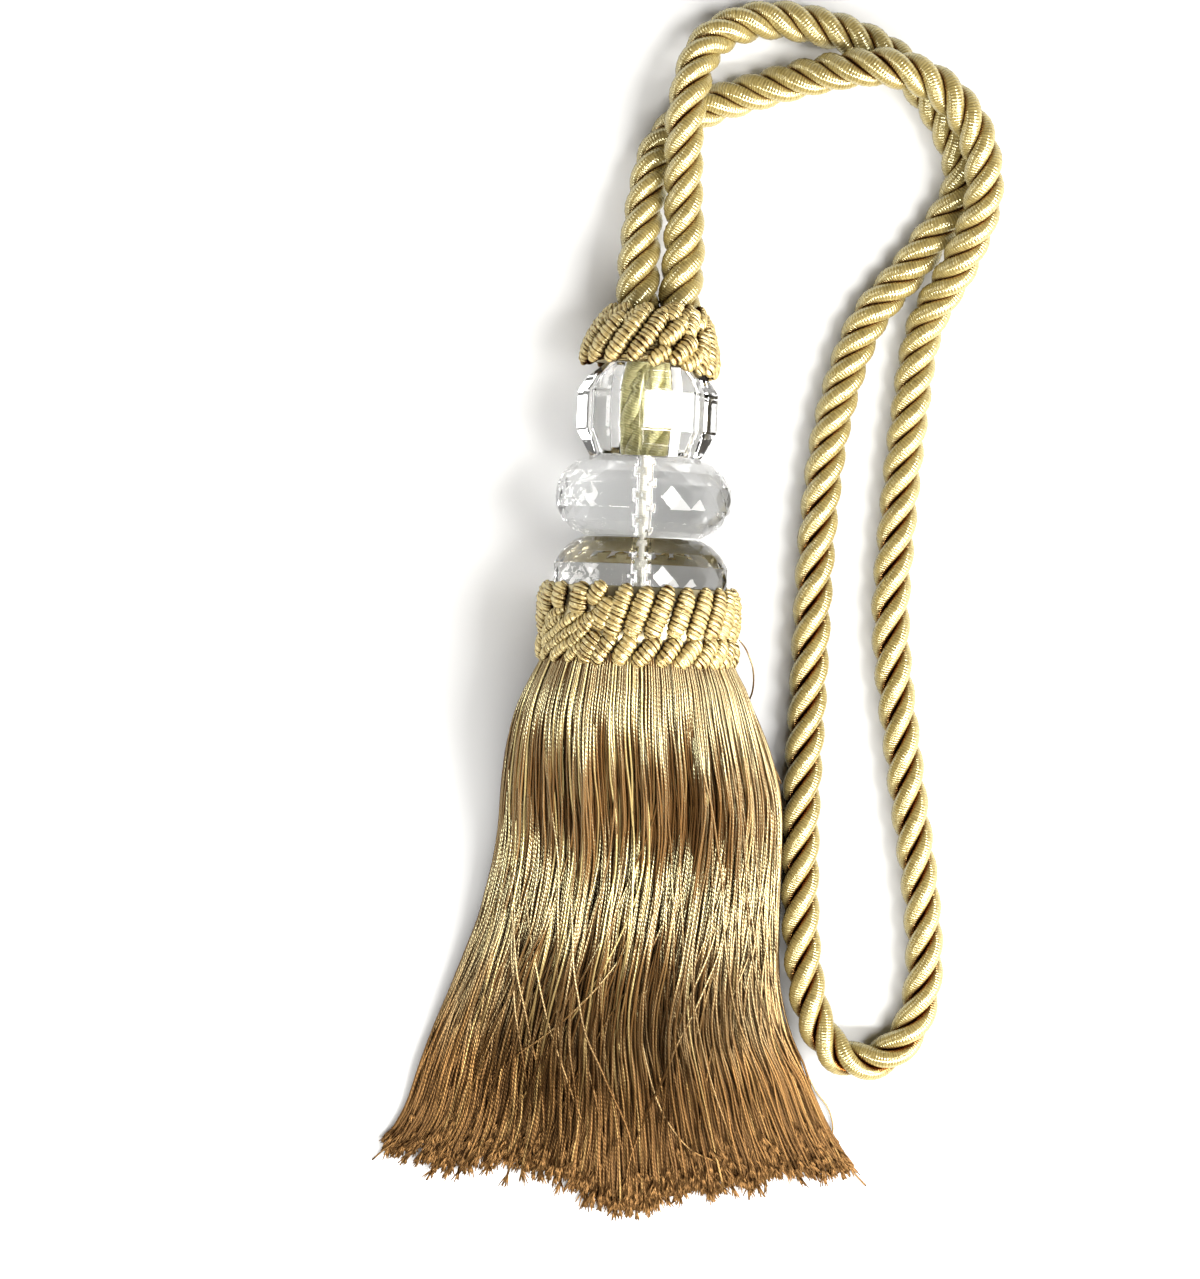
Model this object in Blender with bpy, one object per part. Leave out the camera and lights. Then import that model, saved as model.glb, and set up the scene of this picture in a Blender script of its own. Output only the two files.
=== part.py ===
"""Curtain tieback tassel, lying on a table.

A long skirt of twisted threads hangs from a head that is hidden in a gimp collar. Three clear
faceted beads are threaded above it on a core cord, a second gimp collar caps them, and one
three-strand rope leaves the cap, makes the holding loop and comes back into the cap.

Metres, +Z up. +Y runs from the skirt towards the neck of the tassel, +X is the side on which the
rope lies. The origin is on the table, under the middle of the tassel without its rope.
"""

import math
import random
from collections import namedtuple

import bmesh
import bpy
import numpy as np

MM = 0.001
GAP = 0.3 * MM                     # clearance between neighbouring pieces

# The head's axis: it leans down towards the neck, because the lower collar is the thicker one.
HEAD_TILT = math.radians(8.0)
FOOT_Y = 28.0 * MM                 # where the axis crosses the lower collar's bottom edge
REST_A = 17.0 * MM                 # distance along the axis at which the lower collar rests
REST_HEIGHT = 22.77 * MM           # height of the axis there

# Lower collar: a ring of wrapped gimp, a row of short lumps under a row of long ones.
COLLAR_LUMPS = 28
COLLAR_HEIGHT = 17.6 * MM
COLLAR_BASE = 21.9 * MM            # radius in the valleys between lumps
COLLAR_BUMP = 1.4 * MM             # how far a lump stands out
COLLAR_BORE = 20.3 * MM
COLLAR_MOUTH = 22.1 * MM           # the bore widens to this at the bottom, over the skirt
MOUTH_DEPTH = 3.3 * MM
GIMP_LEAN = math.tan(math.radians(20.0))   # the lumps lean to the right as they go up

# Skirt head, which sits in the lower collar.
HEAD_RADIUS = 20.0 * MM
HEAD_TOP = 10.3 * MM
SKIRT_ROOT_RADIUS = 21.7 * MM
FLARE_DEPTH = 3.0 * MM

# Beads
BEAD_SIDES = 16
BEAD_RADIUS = 20.0 * MM
BEAD_HALF = 8.9 * MM
BEAD_END_RADIUS = 13.3 * MM
BEAD_TIER_RADIUS = 18.6 * MM
BEAD_TIER_HEIGHT = 5.5 * MM
BEAD_BORE = 1.6 * MM
LOWER_BEAD_A = 19.5 * MM
MIDDLE_BEAD_A = LOWER_BEAD_A + 2 * BEAD_HALF + GAP

BARREL_SIDES = 8
BARREL_RADIUS = 16.0 * MM
BARREL_BORE = 6.5 * MM
BARREL_FACET_TURN = math.radians(18.8)     # the front facet looks this far to the right
BARREL_FOOT_A = MIDDLE_BEAD_A + BEAD_HALF + GAP
BARREL_TOP_A = 68.0 * MM
BarrelRing = namedtuple("BarrelRing", "a radius")
BARREL_RINGS = (
    BarrelRing(a=BARREL_FOOT_A, radius=12.7 * MM),
    BarrelRing(a=52.7 * MM, radius=BARREL_RADIUS),
    BarrelRing(a=61.7 * MM, radius=BARREL_RADIUS),
    BarrelRing(a=64.8 * MM, radius=13.9 * MM),
    BarrelRing(a=BARREL_TOP_A, radius=10.0 * MM),
)

# Core cord: a thin tie through the two beads, and the rope's bound ends in the barrel.
TIE_RADIUS = 1.1 * MM
BOUND_RADIUS = 5.9 * MM
BOUND_GROOVE = 0.9 * MM
BOUND_STRANDS = 6
BOUND_TURN = math.radians(70.0)    # twist of the bound ends from foot to top
BOUND_STEPS = 5

# Upper collar: a gimp cap whose right edge droops.
CAP_LUMPS = 17
CAP_BUMP = 1.3 * MM
CAP_FLOOR_A = BARREL_TOP_A + GAP
CAP_TOP_A = 80.0 * MM
CAP_LEAN_X = 1.0 * MM              # sideways lean of the cap's crown
CAP_DROOP = 2.6 * MM
CAP_DROOP_FROM = 10.4 * MM
CAP_DROOP_TO = 15.0 * MM

# Rope
ROPE_RADIUS = 4.6 * MM
ROPE_GROOVE = 1.25 * MM
ROPE_STRANDS = 3
ROPE_LAY = 25.0 * MM               # length of one turn of the twist
ROPE_STEP = 3.1 * MM               # spacing of the rope's sections
POINTS_PER_STRAND = 3              # also the columns of points on each lump of gimp
ROUTE_SAMPLES = 24                 # points worked out between two points of the route

# The rope's route in millimetres, from the cap round the loop and back to the cap.
ROPE_ROUTE = (
    (6.2, 108.0, 13.9), (6.8, 121.0, 12.8), (5.9, 140.0, 13.9), (6.0, 154.0, 14.3),
    (10.5, 168.2, 9.3), (22.0, 173.7, 5.0), (38.0, 172.3, 4.6), (53.0, 166.0, 4.6),
    (65.0, 152.8, 4.6), (69.6, 139.0, 4.6), (60.5, 121.5, 4.6), (49.4, 106.0, 4.6),
    (43.2, 85.0, 4.6), (40.8, 62.0, 4.6), (40.2, 20.0, 4.6), (40.1, -14.0, 5.1),
    (42.4, -45.5, 5.6), (46.4, -59.3, 5.6), (52.3, -66.1, 5.2), (60.6, -66.5, 4.8),
    (67.3, -60.1, 4.6), (70.3, -49.0, 4.6), (69.4, -31.0, 4.6), (63.7, 2.0, 4.6),
    (58.6, 36.0, 4.6), (58.8, 58.0, 4.6), (60.3, 84.0, 4.6), (63.0, 106.0, 4.9),
    (70.0, 121.5, 9.6), (74.1, 137.0, 13.1), (71.0, 151.3, 13.5), (61.5, 161.3, 13.9),
    (49.5, 164.5, 13.8), (36.0, 162.2, 8.5), (21.0, 157.4, 4.7), (9.0, 152.6, 4.6),
    (1.0, 145.0, 5.0), (-2.3, 132.0, 9.3), (-3.3, 118.5, 12.5), (-3.2, 108.0, 13.9),
)

# Skirt: cross-sections from the collar to the tips. y is measured from the collar's bottom edge,
# middle is the height of the widest line, and power squares the underside off towards the table.
# A bottom just under the table makes the locks there rest level on it. Millimetres.
SkirtSection = namedtuple("SkirtSection", "y left right top middle bottom power shear", defaults=(0.0,))
SKIRT_SECTIONS = (
    SkirtSection(y=-10.0, left=-26.0, right=26.4, top=47.2, middle=23.0, bottom=1.5, power=2.1,
                 shear=0.07),
    SkirtSection(y=-22.0, left=-28.3, right=31.0, top=42.5, middle=17.0, bottom=-0.1, power=2.6),
    SkirtSection(y=-46.0, left=-30.0, right=34.9, top=27.5, middle=7.0, bottom=-0.1, power=4.0),
    SkirtSection(y=-84.0, left=-40.5, right=37.8, top=20.0, middle=2.8, bottom=-0.1, power=7.0),
    SkirtSection(y=-140.0, left=-62.8, right=63.6, top=5.0, middle=1.2, bottom=-0.1, power=9.0),
)
LOCK_SECTORS = 52
LOCK_RINGS = (1.0, 0.76, 0.48, 0.15)   # borders of the rings of locks, as shares of the way out
LOCK_WIDTHS = (0.86, 0.84, 0.80, 0.76, 0.50)   # share of its sector that a lock fills
LOCK_RING_GAP = 0.035
OUTLINE_SAMPLES = 720
SIDE_TIP_Y = -122.5 * MM
MIDDLE_TIP_EXTRA = 11.2 * MM       # the skirt's middle reaches this much further
MIDDLE_TIP_SPREAD = 24.0 * MM
TIP_RAGGED = 3.2 * MM
TIP_SEED = 11

MaterialLook = namedtuple("MaterialLook", "name colour roughness metallic")
GOLD_THREAD = MaterialLook("gold_thread", (0.46, 0.34, 0.14, 1.0), 0.42, 0.0)
GOLD_GIMP = MaterialLook("gold_gimp", (0.52, 0.39, 0.17, 1.0), 0.45, 0.0)
GOLD_ROPE = MaterialLook("gold_rope", (0.55, 0.44, 0.20, 1.0), 0.40, 0.0)
CORE_SATIN = MaterialLook("core_satin", (0.50, 0.41, 0.19, 1.0), 0.50, 0.0)
CLEAR_ACRYLIC = MaterialLook("clear_acrylic", (0.93, 0.94, 0.95, 1.0), 0.04, 0.0)


def clear_scene():
    """Remove every object that the file starts with."""
    for item in list(bpy.data.objects):
        bpy.data.objects.remove(item, do_unlink=True)


def make_material(look):
    """A Principled material of one colour."""
    material = bpy.data.materials.new(look.name)
    material.use_nodes = True
    shader = material.node_tree.nodes["Principled BSDF"]
    shader.inputs["Base Color"].default_value = look.colour
    shader.inputs["Roughness"].default_value = look.roughness
    shader.inputs["Metallic"].default_value = look.metallic
    if look is CLEAR_ACRYLIC:
        shader.inputs["Transmission Weight"].default_value = 1.0
        shader.inputs["IOR"].default_value = 1.49
    return material


def add_object(name, points, faces, material, parent=None, smooth=True):
    """Put one closed mesh into the scene, with its faces turned outwards."""
    mesh = bpy.data.meshes.new(name)
    mesh.from_pydata([tuple(point) for point in points], [], [tuple(face) for face in faces])
    shell = bmesh.new()
    shell.from_mesh(mesh)
    bmesh.ops.recalc_face_normals(shell, faces=shell.faces)
    shell.to_mesh(mesh)
    shell.free()
    if smooth:
        mesh.shade_smooth()
    mesh.materials.append(material)
    item = bpy.data.objects.new(name, mesh)
    bpy.context.scene.collection.objects.link(item)
    item.parent = parent
    return item


def axis_height(a):
    """Height of the head's axis above the table at distance a from the collar's bottom edge."""
    return REST_HEIGHT - (a - REST_A) * math.sin(HEAD_TILT)


def add_head_axis():
    """An empty at the foot of the head's axis; its local Z runs to the neck and -Y looks up."""
    axis = bpy.data.objects.new("head_axis", None)
    axis.location = (0.0, FOOT_Y, axis_height(0.0))
    axis.rotation_euler = (-math.pi / 2 - HEAD_TILT, 0.0, 0.0)
    bpy.context.scene.collection.objects.link(axis)
    return axis


def lift_to_table(x, y, a):
    """Move a point of the head, in the axis' own coordinates, up onto the table if it is below."""
    lowest = axis_height(a) / math.cos(HEAD_TILT)
    return x, min(y, lowest), a


def bridge_rings(rings, count, closed):
    """Quads between each ring of points and the next; closed joins the last to the first."""
    faces = []
    total = rings if closed else rings - 1
    for ring in range(total):
        here = ring * count
        there = ((ring + 1) % rings) * count
        for side in range(count):
            after = (side + 1) % count
            faces.append((here + side, here + after, there + after, there + side))
    return faces


def bead_ring(radius, a, half_turn):
    """One ring of a faceted bead; half_turn shifts it by half a facet."""
    offset = 0.5 if half_turn else 0.0
    ring = []
    for side in range(BEAD_SIDES):
        angle = 2 * math.pi * (side + 0.5 + offset) / BEAD_SIDES
        ring.append((radius * math.sin(angle), -radius * math.cos(angle), a))
    return ring


def add_cut_bead(name, centre, material, axis):
    """A squat bead with two tiers of three-cornered facets on each side of its equator."""
    points = []
    points += bead_ring(BEAD_BORE, centre - BEAD_HALF, False)
    points += bead_ring(BEAD_END_RADIUS, centre - BEAD_HALF, False)
    points += bead_ring(BEAD_TIER_RADIUS, centre - BEAD_TIER_HEIGHT, True)
    points += bead_ring(BEAD_RADIUS, centre, False)
    points += bead_ring(BEAD_TIER_RADIUS, centre + BEAD_TIER_HEIGHT, True)
    points += bead_ring(BEAD_END_RADIUS, centre + BEAD_HALF, False)
    points += bead_ring(BEAD_BORE, centre + BEAD_HALF, False)
    shifted = (2, 4)
    rings = len(points) // BEAD_SIDES
    faces = []
    for ring in range(rings):
        after = (ring + 1) % rings
        here = ring * BEAD_SIDES
        there = after * BEAD_SIDES
        for side in range(BEAD_SIDES):
            ahead = (side + 1) % BEAD_SIDES
            if after in shifted:
                faces.append((here + side, here + ahead, there + side))
                faces.append((here + ahead, there + ahead, there + side))
            elif ring in shifted:
                faces.append((here + side, there + ahead, there + side))
                faces.append((here + side, here + ahead, there + ahead))
            else:
                faces.append((here + side, here + ahead, there + ahead, there + side))
    return add_object(name, points, faces, material, axis, smooth=False)


def add_barrel_bead(material, axis):
    """The eight-sided top bead, with a wide bore for the rope's ends."""
    rings = [BarrelRing(BARREL_FOOT_A, BARREL_BORE)]
    rings += BARREL_RINGS
    rings += [BarrelRing(BARREL_TOP_A, BARREL_BORE)]
    points = []
    for ring in rings:
        for side in range(BARREL_SIDES):
            angle = BARREL_FACET_TURN + 2 * math.pi * (side + 0.5) / BARREL_SIDES
            points.append((ring.radius * math.sin(angle), -ring.radius * math.cos(angle), ring.a))
    faces = bridge_rings(len(rings), BARREL_SIDES, closed=True)
    return add_object("bead_upper", points, faces, material, axis, smooth=False)


def add_core_cord(material, axis):
    """The thin tie through the two lower beads and the bound rope ends in the barrel bead."""
    sides = 2 * BOUND_STRANDS
    tie_foot = HEAD_TOP + GAP
    bound_foot = BARREL_FOOT_A + GAP
    bound_top = BARREL_TOP_A - GAP
    rings = []
    for a in (tie_foot, bound_foot):
        rings.append([(TIE_RADIUS, 0.0, a)] * sides)
    for step in range(BOUND_STEPS + 1):
        share = step / BOUND_STEPS
        a = bound_foot + share * (bound_top - bound_foot)
        turn = share * BOUND_TURN
        radii = [BOUND_RADIUS - BOUND_GROOVE * (side % 2) for side in range(sides)]
        rings.append([(radius, turn, a) for radius in radii])
    points = []
    for ring in rings:
        for side, (radius, turn, a) in enumerate(ring):
            angle = turn + 2 * math.pi * side / sides
            points.append((radius * math.sin(angle), -radius * math.cos(angle), a))
    faces = bridge_rings(len(rings), sides, closed=False)
    faces.append(range(sides))
    faces.append(range((len(rings) - 1) * sides, len(rings) * sides))
    return add_object("core_cord", points, faces, material, axis)


# One ring of a collar's surface: lump is how far the lumps stand out there, as a share.
CollarRing = namedtuple("CollarRing", "a radius lump")
LOWER_COLLAR_RINGS = (
    CollarRing(a=0.0 * MM, radius=COLLAR_MOUTH, lump=0.0),
    CollarRing(a=0.3 * MM, radius=COLLAR_BASE + 0.6 * MM, lump=0.2),
    CollarRing(a=2.0 * MM, radius=COLLAR_BASE, lump=1.0),
    CollarRing(a=4.6 * MM, radius=COLLAR_BASE, lump=1.0),
    CollarRing(a=6.2 * MM, radius=COLLAR_BASE, lump=0.0),
    CollarRing(a=7.8 * MM, radius=COLLAR_BASE, lump=0.9),
    CollarRing(a=11.5 * MM, radius=COLLAR_BASE, lump=1.0),
    CollarRing(a=15.6 * MM, radius=COLLAR_BASE, lump=1.0),
    CollarRing(a=17.4 * MM, radius=COLLAR_BASE - 0.2 * MM, lump=0.3),
    CollarRing(a=COLLAR_HEIGHT, radius=COLLAR_BASE - 0.9 * MM, lump=0.0),
    CollarRing(a=16.8 * MM, radius=COLLAR_BORE, lump=0.0),
    CollarRing(a=MOUTH_DEPTH, radius=COLLAR_BORE, lump=0.0),
)
CAP_RINGS = (
    CollarRing(a=CAP_FLOOR_A, radius=10.3 * MM, lump=0.0),
    CollarRing(a=67.7 * MM, radius=13.9 * MM, lump=0.0),
    CollarRing(a=68.0 * MM, radius=15.0 * MM, lump=0.4),
    CollarRing(a=70.0 * MM, radius=14.8 * MM, lump=1.0),
    CollarRing(a=73.4 * MM, radius=13.9 * MM, lump=1.0),
    CollarRing(a=76.6 * MM, radius=12.3 * MM, lump=1.0),
    CollarRing(a=79.2 * MM, radius=10.3 * MM, lump=0.8),
    CollarRing(a=CAP_TOP_A, radius=9.4 * MM, lump=0.0),
)


def collar_points(rings, lumps, bump, shape):
    """Points of a gimp collar: each lump has a valley column and two crest columns."""
    columns = lumps * POINTS_PER_STRAND
    points = []
    for ring in rings:
        lean = GIMP_LEAN * ring.a / ring.radius
        for column in range(columns):
            angle = 2 * math.pi * column / columns + lean
            crest = 0.0 if column % POINTS_PER_STRAND == 0 else 1.0
            radius = ring.radius + bump * ring.lump * crest
            x, y, a = shape(radius * math.sin(angle), -radius * math.cos(angle), ring.a)
            points.append(lift_to_table(x, y, a))
    return points


def ring_shape(x, y, a):
    """The lower collar stays as it is turned."""
    return x, y, a


def add_lower_collar(material, axis):
    """The gimp ring round the skirt's head and the foot of the lower bead."""
    points = collar_points(LOWER_COLLAR_RINGS, COLLAR_LUMPS, COLLAR_BUMP, ring_shape)
    faces = bridge_rings(len(LOWER_COLLAR_RINGS), COLLAR_LUMPS * POINTS_PER_STRAND, closed=True)
    return add_object("lower_collar", points, faces, material, axis)


def cap_shape(x, y, a):
    """Droop the cap's right edge, and lean its crown to the right under the two rope ends."""
    rise = (a - CAP_FLOOR_A) / (CAP_TOP_A - CAP_FLOOR_A)
    side = (x - CAP_DROOP_FROM) / (CAP_DROOP_TO - CAP_DROOP_FROM)
    side = min(max(side, 0.0), 1.0)
    droop = CAP_DROOP * side * (1.0 - min(max(rise, 0.0), 1.0))
    return x + CAP_LEAN_X * rise, y, a - droop


def add_upper_collar(material, axis):
    """The gimp cap between the barrel bead and the rope."""
    points = collar_points(CAP_RINGS, CAP_LUMPS, CAP_BUMP, cap_shape)
    columns = CAP_LUMPS * POINTS_PER_STRAND
    faces = bridge_rings(len(CAP_RINGS), columns, closed=False)
    faces.append(range(columns))
    faces.append(range((len(CAP_RINGS) - 1) * columns, len(CAP_RINGS) * columns))
    return add_object("upper_collar", points, faces, material, axis)


def skirt_outline(section):
    """The rim of one cross-section, as x and height at even steps of its length.

    The upper side is half an ellipse from the widest line up to the top. The underside is half
    a superellipse, which is squarer for a higher power and never lies below the table.
    """
    angle = np.linspace(0.0, 2 * np.pi, OUTLINE_SAMPLES + 1) - np.pi / 2
    across = np.cos(angle)
    up = np.sin(angle)
    centre = (section.left + section.right) / 2
    half = (section.right - section.left) / 2
    square = 2.0 / section.power
    under_x = np.sign(across) * np.abs(across) ** square
    under_z = section.middle - (section.middle - section.bottom) * np.abs(up) ** square
    over_z = section.middle + (section.top - section.middle) * up
    below = up < 0
    x = centre + half * np.where(below, under_x, across)
    z = np.maximum(np.where(below, under_z, over_z), 0.0)
    steps = np.hypot(np.diff(x), np.diff(z))
    length = np.concatenate(([0.0], np.cumsum(steps)))
    share = length / length[-1]
    return share, x * MM, z * MM


def skirt_spine(section, x):
    """The inner line that the rings of locks close in on: mid-height, shorter than the rim."""
    centre = (section.left + section.right) / 2 * MM
    half = (section.right - section.left) / 2 * MM
    thick = (section.top - max(section.bottom, 0.0)) / 2 * MM
    spine_half = max(half - thick, 0.0)
    spine_x = centre + (x - centre) * spine_half / half
    across = np.clip((spine_x - centre) / half, -1.0, 1.0)
    top = (section.middle + (section.top - section.middle) * np.sqrt(1.0 - across ** 2)) * MM
    bottom = max(section.bottom, 0.0) * MM
    return spine_x, (top + bottom) / 2


def skirt_point(section, share, depth):
    """A point of the skirt: share is the way round the rim, depth the way out to it."""
    shares, xs, zs = skirt_outline(section)
    rim_x = np.interp(share % 1.0, shares, xs)
    rim_z = np.interp(share % 1.0, shares, zs)
    spine_x, spine_z = skirt_spine(section, rim_x)
    x = spine_x + depth * (rim_x - spine_x)
    z = spine_z + depth * (rim_z - spine_z)
    y = FOOT_Y + section.y * MM + section.shear * (z - axis_height(0.0))
    return np.array((x, y, z))


def head_point(radius, a, share):
    """A point on a ring round the head's axis, counted from the underside."""
    angle = 2 * math.pi * share
    rise = -radius * math.cos(angle)
    x = radius * math.sin(angle)
    y = FOOT_Y + a * math.cos(HEAD_TILT) + rise * math.sin(HEAD_TILT)
    z = axis_height(a) + rise * math.cos(HEAD_TILT)
    return np.array((x, y, z))


def lock_corners(section, sector, outer, inner, width, ring_gap):
    """The four corners of one lock at one cross-section."""
    first = (sector - width / 2) / LOCK_SECTORS
    last = (sector + width / 2) / LOCK_SECTORS
    out = outer if outer == LOCK_RINGS[0] else outer - ring_gap
    core = inner + ring_gap
    spots = ((first, out), (last, out), (last, core), (first, core))
    return [skirt_point(section, share, depth) for share, depth in spots]


def tip_share(corners_before, corners_last, ragged):
    """How far along its last stretch a lock ends, so that the hem is longest in the middle."""
    x = np.mean([corner[0] for corner in corners_last])
    reach = SIDE_TIP_Y - MIDDLE_TIP_EXTRA * math.exp(-(x / MIDDLE_TIP_SPREAD) ** 2)
    end_y = FOOT_Y + reach - TIP_RAGGED * ragged
    start_y = np.mean([corner[1] for corner in corners_before])
    last_y = np.mean([corner[1] for corner in corners_last])
    return min((start_y - end_y) / (start_y - last_y), 1.0)


def add_skirt(material):
    """The head disc with its rings of locks, which share their root edges and part below them."""
    ragged = random.Random(TIP_SEED)
    points = []
    faces = []
    for depth in LOCK_RINGS:
        for sector in range(LOCK_SECTORS):
            points.append(head_point(SKIRT_ROOT_RADIUS * depth, 0.0, (sector - 0.5) / LOCK_SECTORS))
    head_start = len(points)
    for radius, a in ((HEAD_RADIUS, FLARE_DEPTH), (HEAD_RADIUS, HEAD_TOP)):
        for sector in range(LOCK_SECTORS):
            points.append(head_point(radius, a, (sector - 0.5) / LOCK_SECTORS))
    for sector in range(LOCK_SECTORS):
        after = (sector + 1) % LOCK_SECTORS
        low = head_start
        high = head_start + LOCK_SECTORS
        faces.append((sector, after, low + after, low + sector))
        faces.append((low + sector, low + after, high + after, high + sector))
    faces.append(range(head_start + LOCK_SECTORS, head_start + 2 * LOCK_SECTORS))
    core_start = (len(LOCK_RINGS) - 1) * LOCK_SECTORS
    faces.append(range(core_start, core_start + LOCK_SECTORS))
    for ring in range(len(LOCK_RINGS) - 1):
        for sector in range(LOCK_SECTORS):
            after = (sector + 1) % LOCK_SECTORS
            outer = ring * LOCK_SECTORS
            inner = (ring + 1) * LOCK_SECTORS
            root = [outer + sector, outer + after, inner + after, inner + sector]
            add_lock(points, faces, root, ring, sector, ragged.random())
    return add_object("skirt", points, faces, material, smooth=False)


def add_lock(points, faces, root, ring, sector, ragged):
    """Grow one four-sided lock from its root cell through the cross-sections to its tip."""
    stations = []
    for section, width in zip(SKIRT_SECTIONS, LOCK_WIDTHS):
        stations.append(lock_corners(
            section, sector, LOCK_RINGS[ring], LOCK_RINGS[ring + 1], width, LOCK_RING_GAP))
    share = tip_share(stations[-2], stations[-1], ragged)
    before = stations[-2]
    last = stations[-1]
    stations[-1] = [start + share * (end - start) for start, end in zip(before, last)]
    corners = root
    for station in stations:
        start = len(points)
        points.extend(station)
        fresh = [start, start + 1, start + 2, start + 3]
        for side in range(4):
            after = (side + 1) % 4
            faces.append((corners[side], corners[after], fresh[after], fresh[side]))
        corners = fresh
    faces.append(tuple(corners))


def smooth_route(route, step):
    """Points at even steps along a centripetal curve through the route's points."""
    knots = np.array(route) * MM
    first = 2 * knots[0] - knots[1]
    last = 2 * knots[-1] - knots[-2]
    knots = np.vstack((first, knots, last))
    fine = []
    for index in range(1, len(knots) - 2):
        p0, p1, p2, p3 = knots[index - 1:index + 3]
        t1 = math.sqrt(np.linalg.norm(p1 - p0))
        t2 = t1 + math.sqrt(np.linalg.norm(p2 - p1))
        t3 = t2 + math.sqrt(np.linalg.norm(p3 - p2))
        for t in np.linspace(t1, t2, ROUTE_SAMPLES, endpoint=False):
            a1 = (t1 - t) / t1 * p0 + t / t1 * p1
            a2 = (t2 - t) / (t2 - t1) * p1 + (t - t1) / (t2 - t1) * p2
            a3 = (t3 - t) / (t3 - t2) * p2 + (t - t2) / (t3 - t2) * p3
            b1 = (t2 - t) / t2 * a1 + t / t2 * a2
            b2 = (t3 - t) / (t3 - t1) * a2 + (t - t1) / (t3 - t1) * a3
            fine.append((t2 - t) / (t2 - t1) * b1 + (t - t1) / (t2 - t1) * b2)
    fine.append(knots[-2])
    fine = np.array(fine)
    length = np.concatenate(([0.0], np.cumsum(np.linalg.norm(np.diff(fine, axis=0), axis=1))))
    count = round(length[-1] / step) + 1
    even = np.linspace(0.0, length[-1], count)
    return np.column_stack([np.interp(even, length, fine[:, axis]) for axis in range(3)]), even


def add_rope(material):
    """The three-strand rope as one twisted tube with a rounded ridge for each strand."""
    path, along = smooth_route(ROPE_ROUTE, ROPE_STEP)
    heading = np.gradient(path, axis=0)
    heading /= np.linalg.norm(heading, axis=1)[:, None]
    side = np.cross(heading, (0.0, 0.0, 1.0))
    side /= np.linalg.norm(side, axis=1)[:, None]
    above = np.cross(side, heading)
    count = ROPE_STRANDS * POINTS_PER_STRAND
    points = []
    for index in range(len(path)):
        twist = -2 * math.pi * along[index] / ROPE_LAY
        for corner in range(count):
            angle = twist + 2 * math.pi * corner / count
            groove = ROPE_GROOVE if corner % POINTS_PER_STRAND == 0 else 0.0
            reach = ROPE_RADIUS - groove
            offset = reach * (math.cos(angle) * side[index] + math.sin(angle) * above[index])
            point = path[index] + offset
            point[2] = max(point[2], 0.0)
            points.append(point)
    faces = bridge_rings(len(path), count, closed=False)
    faces.append(range(count))
    faces.append(range((len(path) - 1) * count, len(path) * count))
    return add_object("rope", points, faces, material)


def build_tassel():
    """Model every piece of the tassel."""
    clear_scene()
    thread = make_material(GOLD_THREAD)
    gimp = make_material(GOLD_GIMP)
    rope = make_material(GOLD_ROPE)
    satin = make_material(CORE_SATIN)
    acrylic = make_material(CLEAR_ACRYLIC)
    axis = add_head_axis()
    add_skirt(thread)
    add_lower_collar(gimp, axis)
    add_cut_bead("bead_lower", LOWER_BEAD_A, acrylic, axis)
    add_cut_bead("bead_middle", MIDDLE_BEAD_A, acrylic, axis)
    add_barrel_bead(acrylic, axis)
    add_core_cord(satin, axis)
    add_upper_collar(gimp, axis)
    add_rope(rope)


build_tassel()
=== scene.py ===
"""Looks of the curtain tieback tassel: satin rope, thread skirt, gimp collars and clear beads.

Every piece is a surface worked out with numpy in the row frame, in metres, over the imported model.
+Y runs from the skirt to the neck, +X is the side on which the rope lies, and +Z is up. The tables
of shapes are in millimetres.
"""

from __future__ import annotations

import logging
import math
from dataclasses import dataclass, field, replace
from enum import Enum
from typing import Callable, Sequence

import bpy
import numpy as np
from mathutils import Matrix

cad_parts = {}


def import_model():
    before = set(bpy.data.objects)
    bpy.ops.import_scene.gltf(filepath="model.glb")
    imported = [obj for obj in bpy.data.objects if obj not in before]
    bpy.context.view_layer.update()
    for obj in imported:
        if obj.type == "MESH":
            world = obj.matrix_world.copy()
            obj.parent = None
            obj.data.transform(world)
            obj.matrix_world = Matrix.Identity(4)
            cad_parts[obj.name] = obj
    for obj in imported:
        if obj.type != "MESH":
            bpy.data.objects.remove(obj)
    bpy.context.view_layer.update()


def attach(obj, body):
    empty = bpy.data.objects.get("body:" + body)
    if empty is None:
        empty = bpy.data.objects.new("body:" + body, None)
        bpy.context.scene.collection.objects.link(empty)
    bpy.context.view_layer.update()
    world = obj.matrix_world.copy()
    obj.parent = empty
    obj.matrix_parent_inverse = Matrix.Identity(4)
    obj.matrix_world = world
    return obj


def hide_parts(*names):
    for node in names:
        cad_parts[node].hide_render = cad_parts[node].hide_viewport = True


LOG = logging.getLogger("tassel")

Array = np.ndarray
Colour = tuple[float, float, float]
Triple = tuple[float, float, float]
Span = tuple[float, float]
Socket = bpy.types.NodeSocket
Value = float | Colour | Socket

MM = 0.001
TURN = 2.0 * math.pi
UP = (0.0, 0.0, 1.0)
BODY = "root"
WRAP_MAP = "wrap"  # UV map: millimetres along a thread, turns round it
# for the skirt's threads the tone also holds painted shade, darker in each deeper layer
TONE = "tone"  # attribute: a thread's own shade, from 0 to 1
REACH = "reach"  # attribute: share of the way from a thread's root to its cut end
TABLE_CLEARANCE = 0.02 * MM


class Slot(Enum):
    """The record's material slots."""

    THREAD = "gold_thread"
    GIMP = "gold_gimp"
    ACRYLIC = "clear_acrylic"
    CORE = "core_satin"
    ROPE = "gold_rope"


# ---- Shapes ----


def unit(vectors: Array) -> Array:
    """Scale vectors to length one.

    Args:
        vectors: Array whose last axis holds x, y and z.

    Returns:
        Each vector divided by its own length.
    """
    length = np.linalg.norm(vectors, axis=-1, keepdims=True)
    return vectors / np.maximum(length, 1e-12)


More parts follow.
